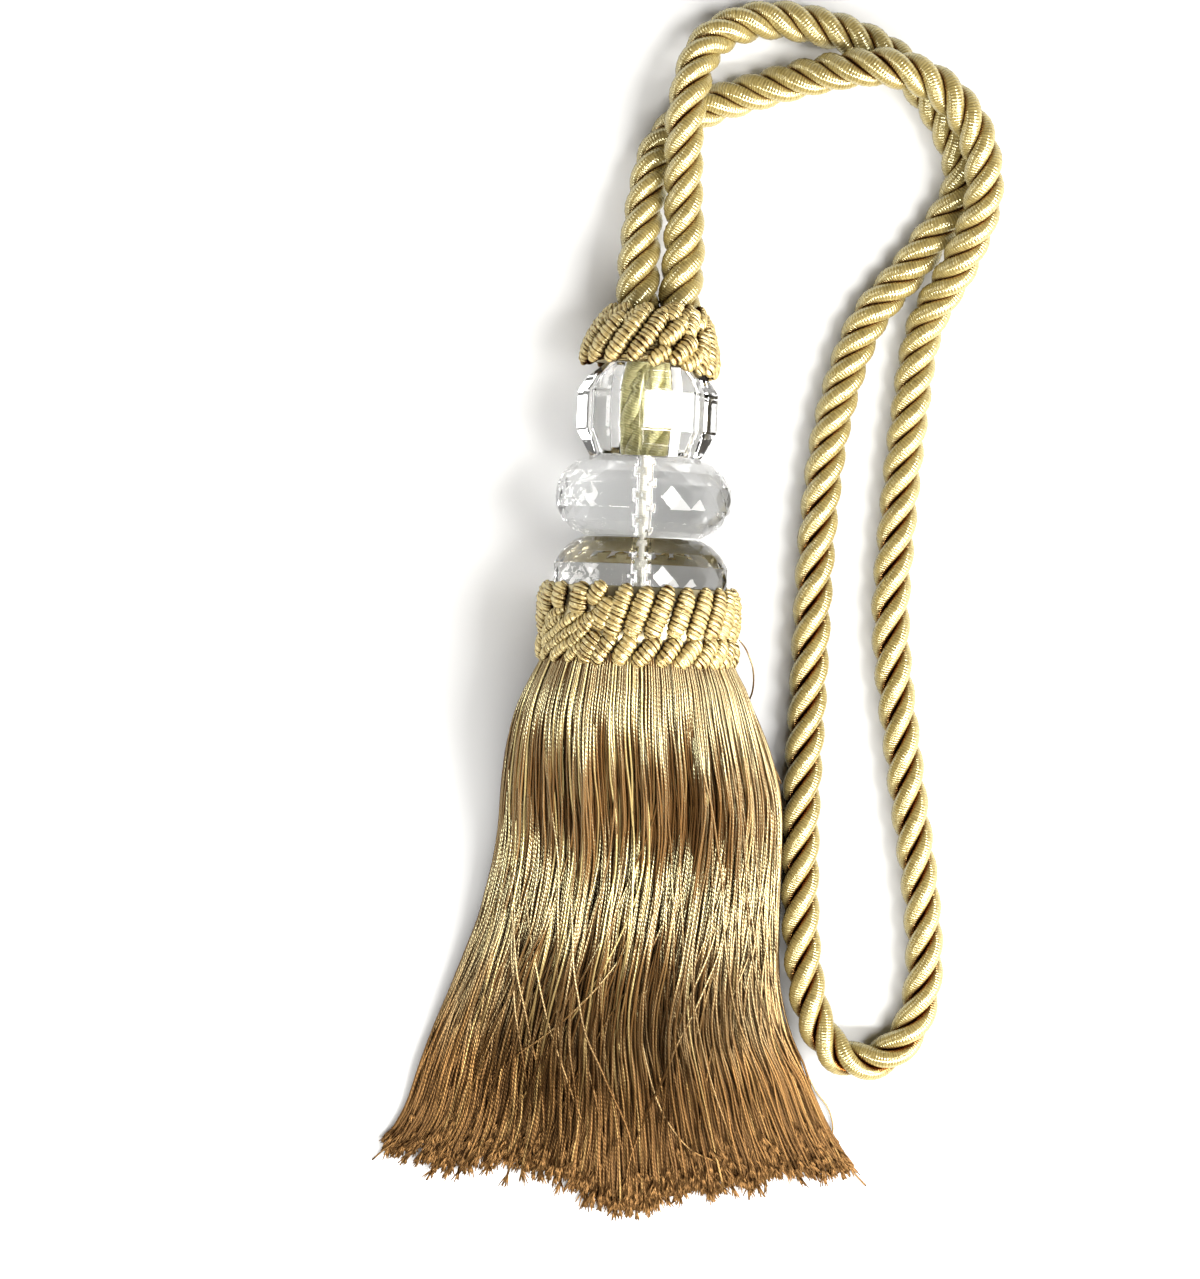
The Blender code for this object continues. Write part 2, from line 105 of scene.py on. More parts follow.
def ease(low: float, high: float, value: Array) -> Array:
    """Rise from 0 at low to 1 at high: three times the share squared less twice it cubed."""
    share = np.clip((value - low) / (high - low), 0.0, 1.0)
    return share * share * (3.0 - 2.0 * share)


def read_curve(at: Array, places: Array, values: Array) -> Array:
    """Read a table along a smooth curve.

    Between two places the curve is the cubic that has the table's values and its centred slopes
    at both ends.

    Args:
        at: Where to read the curve, of any shape.
        places: The table's places, rising.
        values: The table's values.

    Returns:
        The curve's values, in the shape of at.
    """
    slopes = np.gradient(values, places)
    index = np.clip(np.searchsorted(places, at) - 1, 0, len(places) - 2)
    width = places[index + 1] - places[index]
    t = np.clip((at - places[index]) / width, 0.0, 1.0)
    start, end = values[index], values[index + 1]
    bend = t * (1.0 - t) * width
    line = start + (end - start) * (3.0 * t**2 - 2.0 * t**3)
    return line + bend * ((1.0 - t) * slopes[index] - t * slopes[index + 1])


def sines(at: Array, start: Array, terms: Sequence[Triple]) -> Array:
    """Add sines of one quantity, each with its height, its rate and its factor of the start."""
    return sum(height * np.sin(rate * at + factor * start) for height, rate, factor in terms)


def smooth_line(knots_mm: Sequence[Triple], step: float) -> tuple[Array, Array]:
    """Carry a smooth line through a route's points.

    The line is the centripetal Catmull-Rom curve: each stretch blends the straight lines through
    its four nearest points, with knots spaced by the square roots of the distances.

    Args:
        knots_mm: The route's points, in millimetres.
        step: Spacing of the line's points, in metres.

    Returns:
        The line's points at even steps, and the length from the start to each.
    """
    knots = np.asarray(knots_mm, float) * MM
    knots = np.vstack((2 * knots[0] - knots[1], knots, 2 * knots[-1] - knots[-2]))
    p0, p1, p2, p3 = (knots[i:len(knots) - 3 + i, None, :] for i in range(4))
    t1 = np.sqrt(np.linalg.norm(p1 - p0, axis=-1, keepdims=True))
    t2 = t1 + np.sqrt(np.linalg.norm(p2 - p1, axis=-1, keepdims=True))
    t3 = t2 + np.sqrt(np.linalg.norm(p3 - p2, axis=-1, keepdims=True))
    t = t1 + np.linspace(0.0, 1.0, 24, endpoint=False)[None, :, None] * (t2 - t1)
    a1 = (t1 - t) / t1 * p0 + t / t1 * p1
    a2 = (t2 - t) / (t2 - t1) * p1 + (t - t1) / (t2 - t1) * p2
    a3 = (t3 - t) / (t3 - t2) * p2 + (t - t2) / (t3 - t2) * p3
    b1 = (t2 - t) / t2 * a1 + t / t2 * a2
    b2 = (t3 - t) / (t3 - t1) * a2 + (t - t1) / (t3 - t1) * a3
    fine = ((t2 - t) / (t2 - t1) * b1 + (t - t1) / (t2 - t1) * b2).reshape(-1, 3)
    fine = np.vstack((fine, knots[-2]))
    length = np.concatenate(([0.0], np.cumsum(np.linalg.norm(np.diff(fine, axis=0), axis=1))))
    even = np.linspace(0.0, length[-1], round(length[-1] / step) + 1)
    return np.column_stack([np.interp(even, length, fine[:, axis]) for axis in range(3)]), even


def length_along(paths: Array) -> Array:
    """Length from the start of each path to each of its points, in millimetres."""
    steps = np.linalg.norm(np.diff(paths, axis=1), axis=-1)
    return np.concatenate((np.zeros((len(paths), 1)), np.cumsum(steps, axis=1)), axis=1) / MM


def carry_ring(paths: Array, outward: Array, half_out: Array, half_side: Array) -> Array:
    """Carry a ring of points along paths.

    A point of the ring is the path's own point, plus the outward direction times the cosine of
    its turn times half_out, plus the sideways direction times the sine times half_side. Both
    directions are square to the path.

    Args:
        paths: Points of the paths, as (paths, stations, 3).
        outward: The side that the ring's first point looks to, as (paths, stations, 3).
        half_out: Half thickness along outward, as (paths, stations, sides).
        half_side: Half thickness across it, as (paths, stations, sides).

    Returns:
        Points of the tubes, as (paths, stations, sides, 3).
    """
    heading = unit(np.gradient(paths, axis=1))
    out = unit(outward - np.sum(outward * heading, axis=-1, keepdims=True) * heading)
    side = np.cross(heading, out)
    turn = TURN * np.arange(half_out.shape[-1]) / half_out.shape[-1]
    over = (half_out * np.cos(turn))[..., None] * out[:, :, None, :]
    across = (half_side * np.sin(turn))[..., None] * side[:, :, None, :]
    return paths[:, :, None, :] + over + across


@dataclass
class Tubes:
    """A batch of tubes with the same number of stations and sides.

    Attributes:
        points: Surface points, as (tubes, stations, sides, 3).
        along: Millimetres along each tube, as (tubes, stations).
        tone: Each tube's own shade, as (tubes,).
        reach: Share of the way to the cut end, as (tubes, stations).
        ring: True where the last station joins the first, and False where both ends are closed.
    """

    points: Array
    along: Array
    tone: Array
    reach: Array
    ring: bool = False

    def above_table(self) -> "Tubes":
        """Lift whatever would lie below the table onto it."""
        self.points[..., 2] = np.maximum(self.points[..., 2], TABLE_CLEARANCE)
        return self

    def walls(self) -> tuple[Array, Array]:
        """Lay quads between neighbouring stations.

        Returns:
            Corner indices as (quads, 4), and the UV of each corner as (quads, 4, 2).
        """
        tubes, stations, sides = self.points.shape[:3]
        spans = stations if self.ring else stations - 1
        tube, row, side = np.meshgrid(
            np.arange(tubes), np.arange(spans), np.arange(sides), indexing="ij")
        after = (row + 1) % stations
        ahead = (side + 1) % sides
        start = tube * stations * sides
        corners = [(row, side), (row, ahead), (after, ahead), (after, side)]
        quads = np.stack([start + r * sides + s for r, s in corners], axis=-1)
        low = self.along[tube, row]
        high = low + 1.0 if self.ring else self.along[tube, after]
        turns = np.stack([side, side + 1, side + 1, side], axis=-1) / sides
        marks = np.stack([low, low, high, high], axis=-1)
        return quads.reshape(-1, 4), np.stack((marks, turns), axis=-1).reshape(-1, 4, 2)

    def ends(self) -> tuple[Array, Array]:
        """Close both ends of each tube with one face.

        Returns:
            Corner indices as (ends, sides), and the UV of each corner as (ends, sides, 2).
        """
        tubes, stations, sides = self.points.shape[:3]
        start = np.arange(tubes)[:, None] * stations * sides
        side = np.arange(sides)[None, :]
        foot = (start + side)[:, ::-1]
        tip = start + (stations - 1) * sides + side
        turns = np.broadcast_to(side / sides, (tubes, sides))
        foot_mark = np.broadcast_to(self.along[:, :1], (tubes, sides))
        tip_mark = np.broadcast_to(self.along[:, -1:], (tubes, sides))
        uv_foot = np.stack((foot_mark, turns[:, ::-1]), axis=-1)
        uv_tip = np.stack((tip_mark, turns), axis=-1)
        return np.vstack((foot, tip)), np.vstack((uv_foot, uv_tip))


def round_tubes(paths: Array, outward: Array | Triple, half: Array, sides: int, tone: Array,
                reach: float | None = None) -> Tubes:
    """Give paths a round thickness.

    Args:
        paths: Points of the paths, as (paths, stations, 3).
        outward: The side that each ring's first point looks to.
        half: Half the thickness, in a shape that fits (paths, stations).
        sides: Points round a tube.
        tone: Each tube's own shade.
        reach: One reach for all of it, or none for the share of each tube's length.

    Returns:
        The tubes.
    """
    half = np.broadcast_to(np.asarray(half)[..., None], (*paths.shape[:2], sides))
    marks = length_along(paths)
    share = marks / marks[:, -1:] if reach is None else np.full_like(marks, reach)
    points = carry_ring(paths, np.broadcast_to(outward, paths.shape), half, half)
    return Tubes(points, marks, tone, share)


def turn_body(a: Array, radius: Array | float, sides: int, tone: float, reach: float) -> Tubes:
    """Turn a body of the given radii round the head's axis, in head coordinates."""
    path = np.stack((np.zeros_like(a), a, np.zeros_like(a)), axis=-1)[None]
    return round_tubes(path, UP, np.broadcast_to(radius, a.shape), sides, np.array([tone]), reach)


def make_object(name: str, points: Array, faces: Sequence[Array], smooth: bool) -> bpy.types.Object:
    """Put one mesh into the scene.

    Args:
        name: The object's name.
        points: Points as (points, 3).
        faces: Arrays of corner indices, each of them as (faces, corners).
        smooth: Whether the faces shade smoothly.

    Returns:
        The new object, at the origin.
    """
    mesh = bpy.data.meshes.new(name)
    corners = np.concatenate([block.ravel() for block in faces]).astype(np.int32)
    totals = np.concatenate([np.full(len(block), block.shape[1]) for block in faces])
    starts = np.concatenate(([0], np.cumsum(totals)[:-1])).astype(np.int32)
    mesh.vertices.add(len(points))
    mesh.vertices.foreach_set("co", points.astype(np.float32).ravel())
    mesh.loops.add(len(corners))
    mesh.loops.foreach_set("vertex_index", corners)
    mesh.polygons.add(len(totals))
    mesh.polygons.foreach_set("loop_start", starts)
    mesh.polygons.foreach_set("loop_total", totals.astype(np.int32))
    mesh.polygons.foreach_set("use_smooth", np.full(len(totals), smooth))
    mesh.update(calc_edges=True)
    piece = bpy.data.objects.new(name, mesh)
    bpy.context.scene.collection.objects.link(piece)
    return piece


def weave(name: str, batches: Sequence[Tubes]) -> bpy.types.Object:
    """Join batches of tubes into one object, with their UV map and attributes.

    Args:
        name: The object's name.
        batches: The tubes that the object is made of.

    Returns:
        The new object.
    """
    points, faces, marks, tones, reaches = [], [], [], [], []
    count = 0
    for batch in batches:
        tubes, stations, sides = batch.points.shape[:3]
        blocks = [batch.walls()] if batch.ring else [batch.walls(), batch.ends()]
        for corners, uv in blocks:
            faces.append(corners + count)
            marks.append(uv.reshape(-1, 2))
        points.append(batch.points.reshape(-1, 3))
        shape = (tubes, stations, sides)
        tones.append(np.broadcast_to(batch.tone[:, None, None], shape).ravel())
        reaches.append(np.broadcast_to(batch.reach[:, :, None], shape).ravel())
        count += tubes * stations * sides
    piece = make_object(name, np.concatenate(points), faces, smooth=True)
    mesh = piece.data
    layer = mesh.uv_layers.new(name=WRAP_MAP)
    layer.data.foreach_set("uv", np.concatenate(marks).astype(np.float32).ravel())
    for label, values in ((TONE, tones), (REACH, reaches)):
        attribute = mesh.attributes.new(label, "FLOAT", "POINT")
        attribute.data.foreach_set("value", np.concatenate(values).astype(np.float32))
    return piece


def dress(piece: bpy.types.Object, material: bpy.types.Material, slot: Slot, *nodes: str) -> None:
    """Give a piece its finish, its body and the nodes that it stands for.

    Args:
        piece: The finished piece.
        material: Its material.
        slot: The record's slot that the material belongs to; not used.
        nodes: CAD nodes that the piece replaces.
    """
    piece.data.materials.append(material)
    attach(piece, BODY)
    if nodes:
        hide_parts(*nodes)
    triangles = sum(len(face.vertices) - 2 for face in piece.data.polygons)
    LOG.info("%s: %d triangles", piece.name, triangles)


# ---- Finishes ----


class NodeBench:
    """A material's node tree, with short calls for the nodes that the finishes use."""

    def __init__(self, name: str) -> None:
        """Start a material with a plain Principled shader.

        Args:
            name: The material's name.
        """
        self.material = bpy.data.materials.new(name)
        self.material.use_nodes = True
        self.tree = self.material.node_tree

    def add(self, kind: str, inputs: dict[str | int, Value], **settings: str) -> bpy.types.Node:
        """Add a node.

        Args:
            kind: The node's type, without the words that all of them start with.
            inputs: What its sockets are set or linked to.
            settings: Its settings.

        Returns:
            The node.
        """
        node = self.tree.nodes.new(f"ShaderNode{kind}")
        for label, value in settings.items():
            setattr(node, label, value)
        for label, value in inputs.items():
            self.feed(node.inputs[label], value)
        return node

    def feed(self, socket: Socket, value: Value) -> None:
        """Link a socket to another, or give it a number or a colour.

        Args:
            socket: The socket that takes the value.
            value: Another node's socket, a number or a colour.
        """
        if isinstance(value, bpy.types.NodeSocket):
            self.tree.links.new(value, socket)
        elif isinstance(value, tuple):
            socket.default_value = (*value, 1.0)
        else:
            socket.default_value = value

    def finish(self, inputs: dict[str, Value]) -> bpy.types.Material:
        """Set or link the shader's own sockets.

        Args:
            inputs: What each of them is set or linked to.

        Returns:
            The finished material.
        """
        shader = self.tree.nodes["Principled BSDF"]
        for label, value in inputs.items():
            self.feed(shader.inputs[label], value)
        return self.material

    def maths(self, operation: str, *values: float | Socket) -> Socket:
        """Apply one arithmetic operation, such as MULTIPLY or SINE."""
        return self.add("Math", dict(enumerate(values)), operation=operation).outputs[0]

    def total(self, values: Sequence[Socket], weights: Sequence[float]) -> Socket:
        """Add numbers up, each times its own weight.

        Args:
            values: The numbers.
            weights: Their weights.

        Returns:
            The sum.
        """
        first, *others = (self.maths("MULTIPLY", *pair) for pair in zip(values, weights))
        for other in others:
            first = self.maths("ADD", first, other)
        return first

    def wave(self, operation: str, value: Socket, rate: float) -> Socket:
        """Sine or cosine of a number times a rate."""
        return self.maths(operation, self.maths("MULTIPLY", value, rate))

    def between(self, share: Socket, low: float, high: float) -> Socket:
        """A number that is low where share is 0 and high where it is 1."""
        return self.maths("ADD", self.maths("MULTIPLY", share, high - low), low)

    def ramp(self, value: Socket, span: Span) -> Socket:
        """Share of the way from a span's start to its end, held between 0 and 1."""
        inputs = {"Value": value, "From Min": span[0], "From Max": span[1]}
        return self.add("MapRange", inputs).outputs[0]

    def inward(self, round_: Socket, span: Span) -> Socket:
        """How far the surface looks away from the thread's outer side, whose turn is 0."""
        return self.ramp(self.wave("COSINE", round_, TURN), span)

    def blend(self, share: float | Socket, low: Colour | Socket, high: Colour | Socket) -> Socket:
        """Mix two colours: low where share is 0 and high where it is 1."""
        inputs = {"Factor": share, 6: low, 7: high}
        return self.add("Mix", inputs, data_type="RGBA").outputs[2]

    def attribute(self, label: str) -> Socket:
        """Read one of the mesh's own attributes as a number."""
        return self.add("Attribute", {}, attribute_name=label).outputs["Fac"]

    def wrap_marks(self) -> tuple[Socket, Socket]:
        """Millimetres along the thread and turns round it, from its UV map."""
        marks = self.add("UVMap", {}, uv_map=WRAP_MAP).outputs[0]
        return tuple(self.add("SeparateXYZ", {0: marks}).outputs[:2])

    def lie_along(self) -> Socket:
        """The direction along the thread, for the shader's grain."""
        return self.add("Tangent", {}, direction_type="UV_MAP", uv_map=WRAP_MAP).outputs[0]

    def noise(self, scale: float, detail: float = 2.0, place: Socket | None = None) -> Socket:
        """Soft noise from 0 to 1, on the piece's own coordinates unless another place is given."""
        place = place or self.add("TexCoord", {}).outputs["Object"]
        return self.add("TexNoise", {"Vector": place, "Scale": scale, "Detail": detail}).outputs[0]

    def relief(self, height: Socket, depth: float) -> Socket:
        """The surface's direction when it is raised by height times depth, in the shading alone."""
        inputs = {"Height": height, "Distance": depth, "Strength": 1.0}
        return self.add("Bump", inputs).outputs[0]


@dataclass(frozen=True)
class SatinWrap:
    """Satin yarn wound crosswise on a strand: a bright streak runs along it.

    The wraps are a sine of the millimetres along the strand, and a noise that is stretched round
    the strand frays the streak's edges. Where the surface looks inwards, into the grooves between
    strands, it is painted dark as painted shade: a dark colour, full metal and a dark specular
    tint.
    """

    name: str
    deep: Colour
    light: Colour
    # painted shade: colour of the strand's inward side, in the grooves between strands
    painted_groove_shade: Colour = (0.140, 0.052, 0.011)
    roughness: float = 0.17
    metallic: float = 0.15
    index: float = 2.15
    shine: Colour = (0.98, 1.0, 0.72)
    # painted shade: specular tint of the strand's inward side
    painted_shade_tint: Colour = (0.44, 0.21, 0.08)
    grain: float = 0.85
    wrap_pitch: float = 0.56
    wrap_depth: float = 0.040 * MM
    streak_rates: Span = (1.5, 5.0)  # along the strand and round it
    cloud_scale: float = 90.0
    shade_weights: Triple = (0.9, 0.3, 0.14)  # streaks, clouds and wraps
    relief_weights: Span = (0.80, 2.6)  # wraps and streaks
    shade_span: Span = (0.30, 0.90)
    # painted shade: cosine of the turn over which the inward side darkens
    painted_groove_span: Span = (0.42, -0.14)

    def build(self) -> bpy.types.Material:
        """Make the material.

        Returns:
            The satin's material.
        """
        bench = NodeBench(self.name)
        along, round_ = bench.wrap_marks()
        wraps = bench.wave("SINE", along, TURN / self.wrap_pitch)
        place = [bench.maths("MULTIPLY", *pair) for pair in zip((along, round_), self.streak_rates)]
        place = bench.add("CombineXYZ", dict(enumerate(place))).outputs[0]
        streaks = bench.noise(1.0, place=place)
        shade = bench.total((streaks, bench.noise(self.cloud_scale), wraps), self.shade_weights)
        satin = bench.blend(bench.ramp(shade, self.shade_span), self.deep, self.light)
        # painted shade on the side that looks inwards, into the grooves between strands
        painted_hollow_shade = bench.inward(round_, self.painted_groove_span)
        height = bench.total((wraps, streaks), self.relief_weights)
        return bench.finish({
            "Base Color": bench.blend(painted_hollow_shade, satin, self.painted_groove_shade),
            "Roughness": self.roughness,
            "Metallic": bench.between(painted_hollow_shade, self.metallic, 1.0),
            "IOR": self.index,
            "Specular Tint": bench.blend(painted_hollow_shade, self.shine, self.painted_shade_tint),
            "Anisotropic": self.grain,
            "Tangent": bench.lie_along(),
            "Normal": bench.relief(height, self.wrap_depth),
        })


@dataclass(frozen=True)
class BoundThread:
    """Shiny thread laid side by side: the binding of the skirt's head and the collar's band."""

    name: str
    pale: Colour
    shaded: Colour
    thread_pitch: float = 0.6
    cloud_scale: float = 300.0
    shade_weights: Span = (1.0, 0.2)  # clouds and threads
    metallic: float = 0.85
    roughness: float = 0.28

    def build(self) -> bpy.types.Material:
        """Make the material.

        Returns:
            The thread's material.
        """
        bench = NodeBench(self.name)
        along, _ = bench.wrap_marks()
        threads = bench.wave("SINE", along, TURN / self.thread_pitch)
        shade = bench.total((bench.noise(self.cloud_scale), threads), self.shade_weights)
        return bench.finish({
            "Base Color": bench.blend(shade, self.shaded, self.pale),
            "Roughness": self.roughness,
            "Metallic": self.metallic,
        })


@dataclass(frozen=True)
class PlyThread:
    """Two plies twisted into one shiny thread, browner and duller towards its cut end.

    The plies are the absolute cosine of the turns round the thread plus the turns of the twist;
    in the colour they lighten the ply crests and darken between them, as painted sparkle and shade.
    The thread's sides, where it looks away from its outer side, are painted dark as painted shade
    between threads. A span of reach is a stretch of the thread, from 0 at its root to 1 at its cut
    end.
    """

    name: str
    light: Colour = (0.31, 0.148, 0.044)
    deep: Colour = (0.046, 0.013, 0.002)
    # painted highlight: cream colour of the randomly chosen bright threads
    painted_highlight_cream: Colour = (0.54, 0.400, 0.165)
    end: Colour = (0.240, 0.122, 0.038)
    end_shade: Colour = (0.048, 0.016, 0.004)
    tip: Colour = (0.39, 0.212, 0.078)
    tip_shade: Colour = (0.070, 0.025, 0.006)
    # painted shade: colour of the thread's sides, between threads
    painted_gap_shade: Colour = (0.012, 0.003, 0.001)
    ply_pitch: float = 2.2
    ply_depth: float = 0.032 * MM
    gloss: float = 0.33
    end_gloss: float = 0.62
    grain: float = 0.90
    grain_turn: float = 0.25
    metallic: float = 0.10
    end_metallic: float = 0.92
    index: float = 3.1
    shine: Colour = (0.98, 1.0, 0.62)
    # painted shade: specular tint of the thread's sides
    painted_shade_tint: Colour = (0.30, 0.10, 0.025)
    # the plies' part is painted sparkle and shade: lighter on the ply crests, darker between them
    gold_weights: Span = (0.75, 0.30)  # the thread's tone, and its plies
    brown_weights: Span = (0.80, 0.20)  # along brown_reach, and at the cut end
    dull_weights: Span = (0.5, 0.5)  # along dull_reach, and at the cut end
    shaded_weight: float = 0.32
    # painted highlight: the tones that turn cream
    painted_highlight_tones: Span = (0.74, 0.90)
    # painted shade: cosine of the turn over which the thread's sides darken
    painted_gap_span: Span = (0.70, -0.10)
    brown_reach: Span = (0.50, 0.85)
    dull_reach: Span = (0.50, 0.95)
    muted_reach: Span = (0.50, 0.82)
    shaded_reach: Span = (0.80, 0.95)
    end_reach: Span = (0.97, 1.0)
    tip_reach: Span = (0.985, 1.0)

    def build(self) -> bpy.types.Material:
        """Make the material.

        Returns:
            The thread's material.
        """
        bench = NodeBench(self.name)
        along, round_ = bench.wrap_marks()
        tone, reach = bench.attribute(TONE), bench.attribute(REACH)
        twist = bench.total((along, round_), (TURN / self.ply_pitch, TURN))
        plies = bench.maths("ABSOLUTE", bench.maths("COSINE", twist))
        # painted shade on the thread's sides, between threads
        painted_hollow_shade = bench.inward(round_, self.painted_gap_span)
        # the plies lighten their crests and darken between them: painted sparkle and painted shade
        gold = bench.blend(bench.total((tone, plies), self.gold_weights), self.deep, self.light)
        # painted highlight: the bright threads turn cream
        gold = bench.blend(bench.ramp(tone, self.painted_highlight_tones), gold, self.painted_highlight_cream)
        gold = bench.blend(painted_hollow_shade, gold, self.painted_gap_shade)
        shaded = bench.ramp(reach, self.shaded_reach)
        shaded = bench.maths("MULTIPLY", shaded, self.shaded_weight)
        brown = bench.blend(tone, self.end_shade, self.end)
        brown = bench.blend(shaded, brown, self.end_shade)
        tip = bench.blend(tone, self.tip_shade, self.tip)
        brown = bench.blend(bench.ramp(reach, self.tip_reach), brown, tip)
        at_end = bench.ramp(reach, self.end_reach)
        browned = bench.total((bench.ramp(reach, self.brown_reach), at_end), self.brown_weights)
        dull = bench.total((bench.ramp(reach, self.dull_reach), at_end), self.dull_weights)
        # metal rises where the thread dulls towards its cut end, and on its sides as painted shade
        muted_and_painted_shade = bench.maths("MAXIMUM", bench.ramp(reach, self.muted_reach), painted_hollow_shade)
        return bench.finish({
            "Base Color": bench.blend(browned, gold, brown),
            "Roughness": bench.between(dull, self.gloss, self.end_gloss),
            "Metallic": bench.between(muted_and_painted_shade, self.metallic, self.end_metallic),
            "IOR": self.index,
            "Specular Tint": bench.blend(painted_hollow_shade, self.shine, self.painted_shade_tint),
            "Anisotropic": self.grain,
            "Anisotropic Rotation": self.grain_turn,
            "Tangent": bench.lie_along(),
            "Normal": bench.relief(plies, self.ply_depth),
        })


@dataclass(frozen=True)
class GimpWrap:
    """Fine shiny thread laid over the lumps of a gimp braid.

    The fine threads are a sine of the millimetres along the lump plus the turns round it, finer
    than the ridges that the mesh itself has. The valleys between those ridges are painted darker,
    and a lump's inner side is painted dark but for its crown: both are painted shade.
    """

    name: str
    light: Colour = (0.46, 0.335, 0.130)
    deep: Colour = (0.050, 0.017, 0.004)
    # painted shade: colour of a lump's inner side
    painted_gap_shade: Colour = (0.030, 0.009, 0.002)
    # painted shade: specular tint of the inner side and the dark valleys
    painted_shade_tint: Colour = (0.35, 0.13, 0.03)
    ridge_pitch: float = 1.05
    thread_pitch: float = 0.40
    thread_depth: float = 0.09 * MM
    cloud_scale: float = 760.0
    roughness: float = 0.27
    metallic: float = 0.12
    index: float = 2.9
    shine: Colour = (1.0, 1.0, 0.66)
    # the crest's part is painted shade, darker in the valleys between ridges
    shade_weights: tuple[float, ...] = (0.50, 0.25, 0.08, 0.52)  # cloud, tone, fine and crest
    relief_weights: Span = (0.5, 3.0)  # fine threads and cloud
    # painted shade: how the ridges' sine turns into the valleys' darkening
    crest_span: Span = (0.05, 0.75)
    shade_span: Span = (0.26, 0.94)
    # dark tones, the painted shade of the valleys among them, turn to full metal and a dark
    # specular tint
    muted_span: Span = (0.74, 0.34)
    # painted shade: cosine of the turn over which a lump's inner side darkens
    painted_gap_span: Span = (0.62, -0.10)
    # where the inner side's painted shade fades at the lump's crown
    crown_reach: Span = (0.84, 0.93)
    # share of the inner side's painted shade that stays at the crown
    crown_painted_shade: float = 0.1

    def build(self) -> bpy.types.Material:
        """Make the material.

        Returns:
            The gimp's material.
        """
        bench = NodeBench(self.name)
        along, round_ = bench.wrap_marks()
        slant = bench.total((along, round_), (TURN / self.thread_pitch, 2.0 * TURN))
        fine = bench.maths("SINE", slant)
        # painted shade: the ridges' sine, darker in the valleys between them
        ridge = bench.total((along, round_), (math.pi / self.ridge_pitch, math.pi))
        crest = bench.ramp(bench.maths("ABSOLUTE", bench.maths("SINE", ridge)), self.crest_span)
        cloud = bench.noise(self.cloud_scale)
        shade = bench.total((cloud, bench.attribute(TONE), fine, crest), self.shade_weights)
        gold = bench.blend(bench.ramp(shade, self.shade_span), self.deep, self.light)
        # painted shade on a lump's inner side, fading at its crown
        crown = bench.ramp(bench.attribute(REACH), self.crown_reach)
        painted_hollow_shade = bench.maths("MULTIPLY", bench.inward(round_, self.painted_gap_span),
                             bench.between(crown, 1.0, self.crown_painted_shade))
        # metal and specular tint follow the painted shade and the dark tones
        muted_and_painted_shade = bench.maths("MAXIMUM", painted_hollow_shade, bench.ramp(shade, self.muted_span))
        height = bench.total((fine, cloud), self.relief_weights)
        return bench.finish({
            "Base Color": bench.blend(painted_hollow_shade, gold, self.painted_gap_shade),
            "Roughness": self.roughness,
            "Metallic": bench.between(muted_and_painted_shade, self.metallic, 1.0),
            "IOR": self.index,
            "Specular Tint": bench.blend(muted_and_painted_shade, self.shine, self.painted_shade_tint),
            "Normal": bench.relief(height, self.thread_depth),
        })


@dataclass(frozen=True)
class ClearAcrylic:
    """Clear moulded acrylic with faint ripples from its mould."""

    name: str = "clear_acrylic"
    tint: Colour = (0.985, 0.99, 0.99)
    index: float = 1.49
    roughness: float = 0.015
    ripple: float = 0.012 * MM
    ripple_scale: float = 160.0

    def build(self) -> bpy.types.Material:
        """Make the material.

        Returns:
            The acrylic's material.
        """
        bench = NodeBench(self.name)
        return bench.finish({
            "Base Color": self.tint,
            "Roughness": self.roughness,
            "IOR": self.index,
            "Transmission Weight": 1.0,
            "Normal": bench.relief(bench.noise(self.ripple_scale, 1.0), self.ripple),
        })


@dataclass(frozen=True)
class TableTop:
    """Plain pale matt table."""

    name: str = "table_top"
    colour: Colour = (0.66, 0.665, 0.675)
    shaded: Colour = (0.64, 0.645, 0.66)
    cloud_scale: float = 3.0
    roughness: float = 0.7

    def build(self) -> bpy.types.Material:
        """Make the material.

        Returns:
            The table's material.
        """
        bench = NodeBench(self.name)
        colour = bench.blend(bench.noise(self.cloud_scale), self.shaded, self.colour)
        return bench.finish({"Base Color": colour, "Roughness": self.roughness})


# ---- Studio ----


@dataclass(frozen=True)
class Lamp:
    """One soft light.

    Attributes:
        name: The light's name.
        across: Angle to the right of the camera's own direction, in degrees.
        along: Angle towards the neck from the camera's own direction, in degrees.
        distance: Distance from the tassel, in metres.
        width: Size across, in metres.
        height: Size along, in metres.
        power: Watts.
        colour: Colour of the light.
    """

    name: str
    across: float
    along: float
    distance: float
    width: float
    height: float
    power: float
    colour: Colour


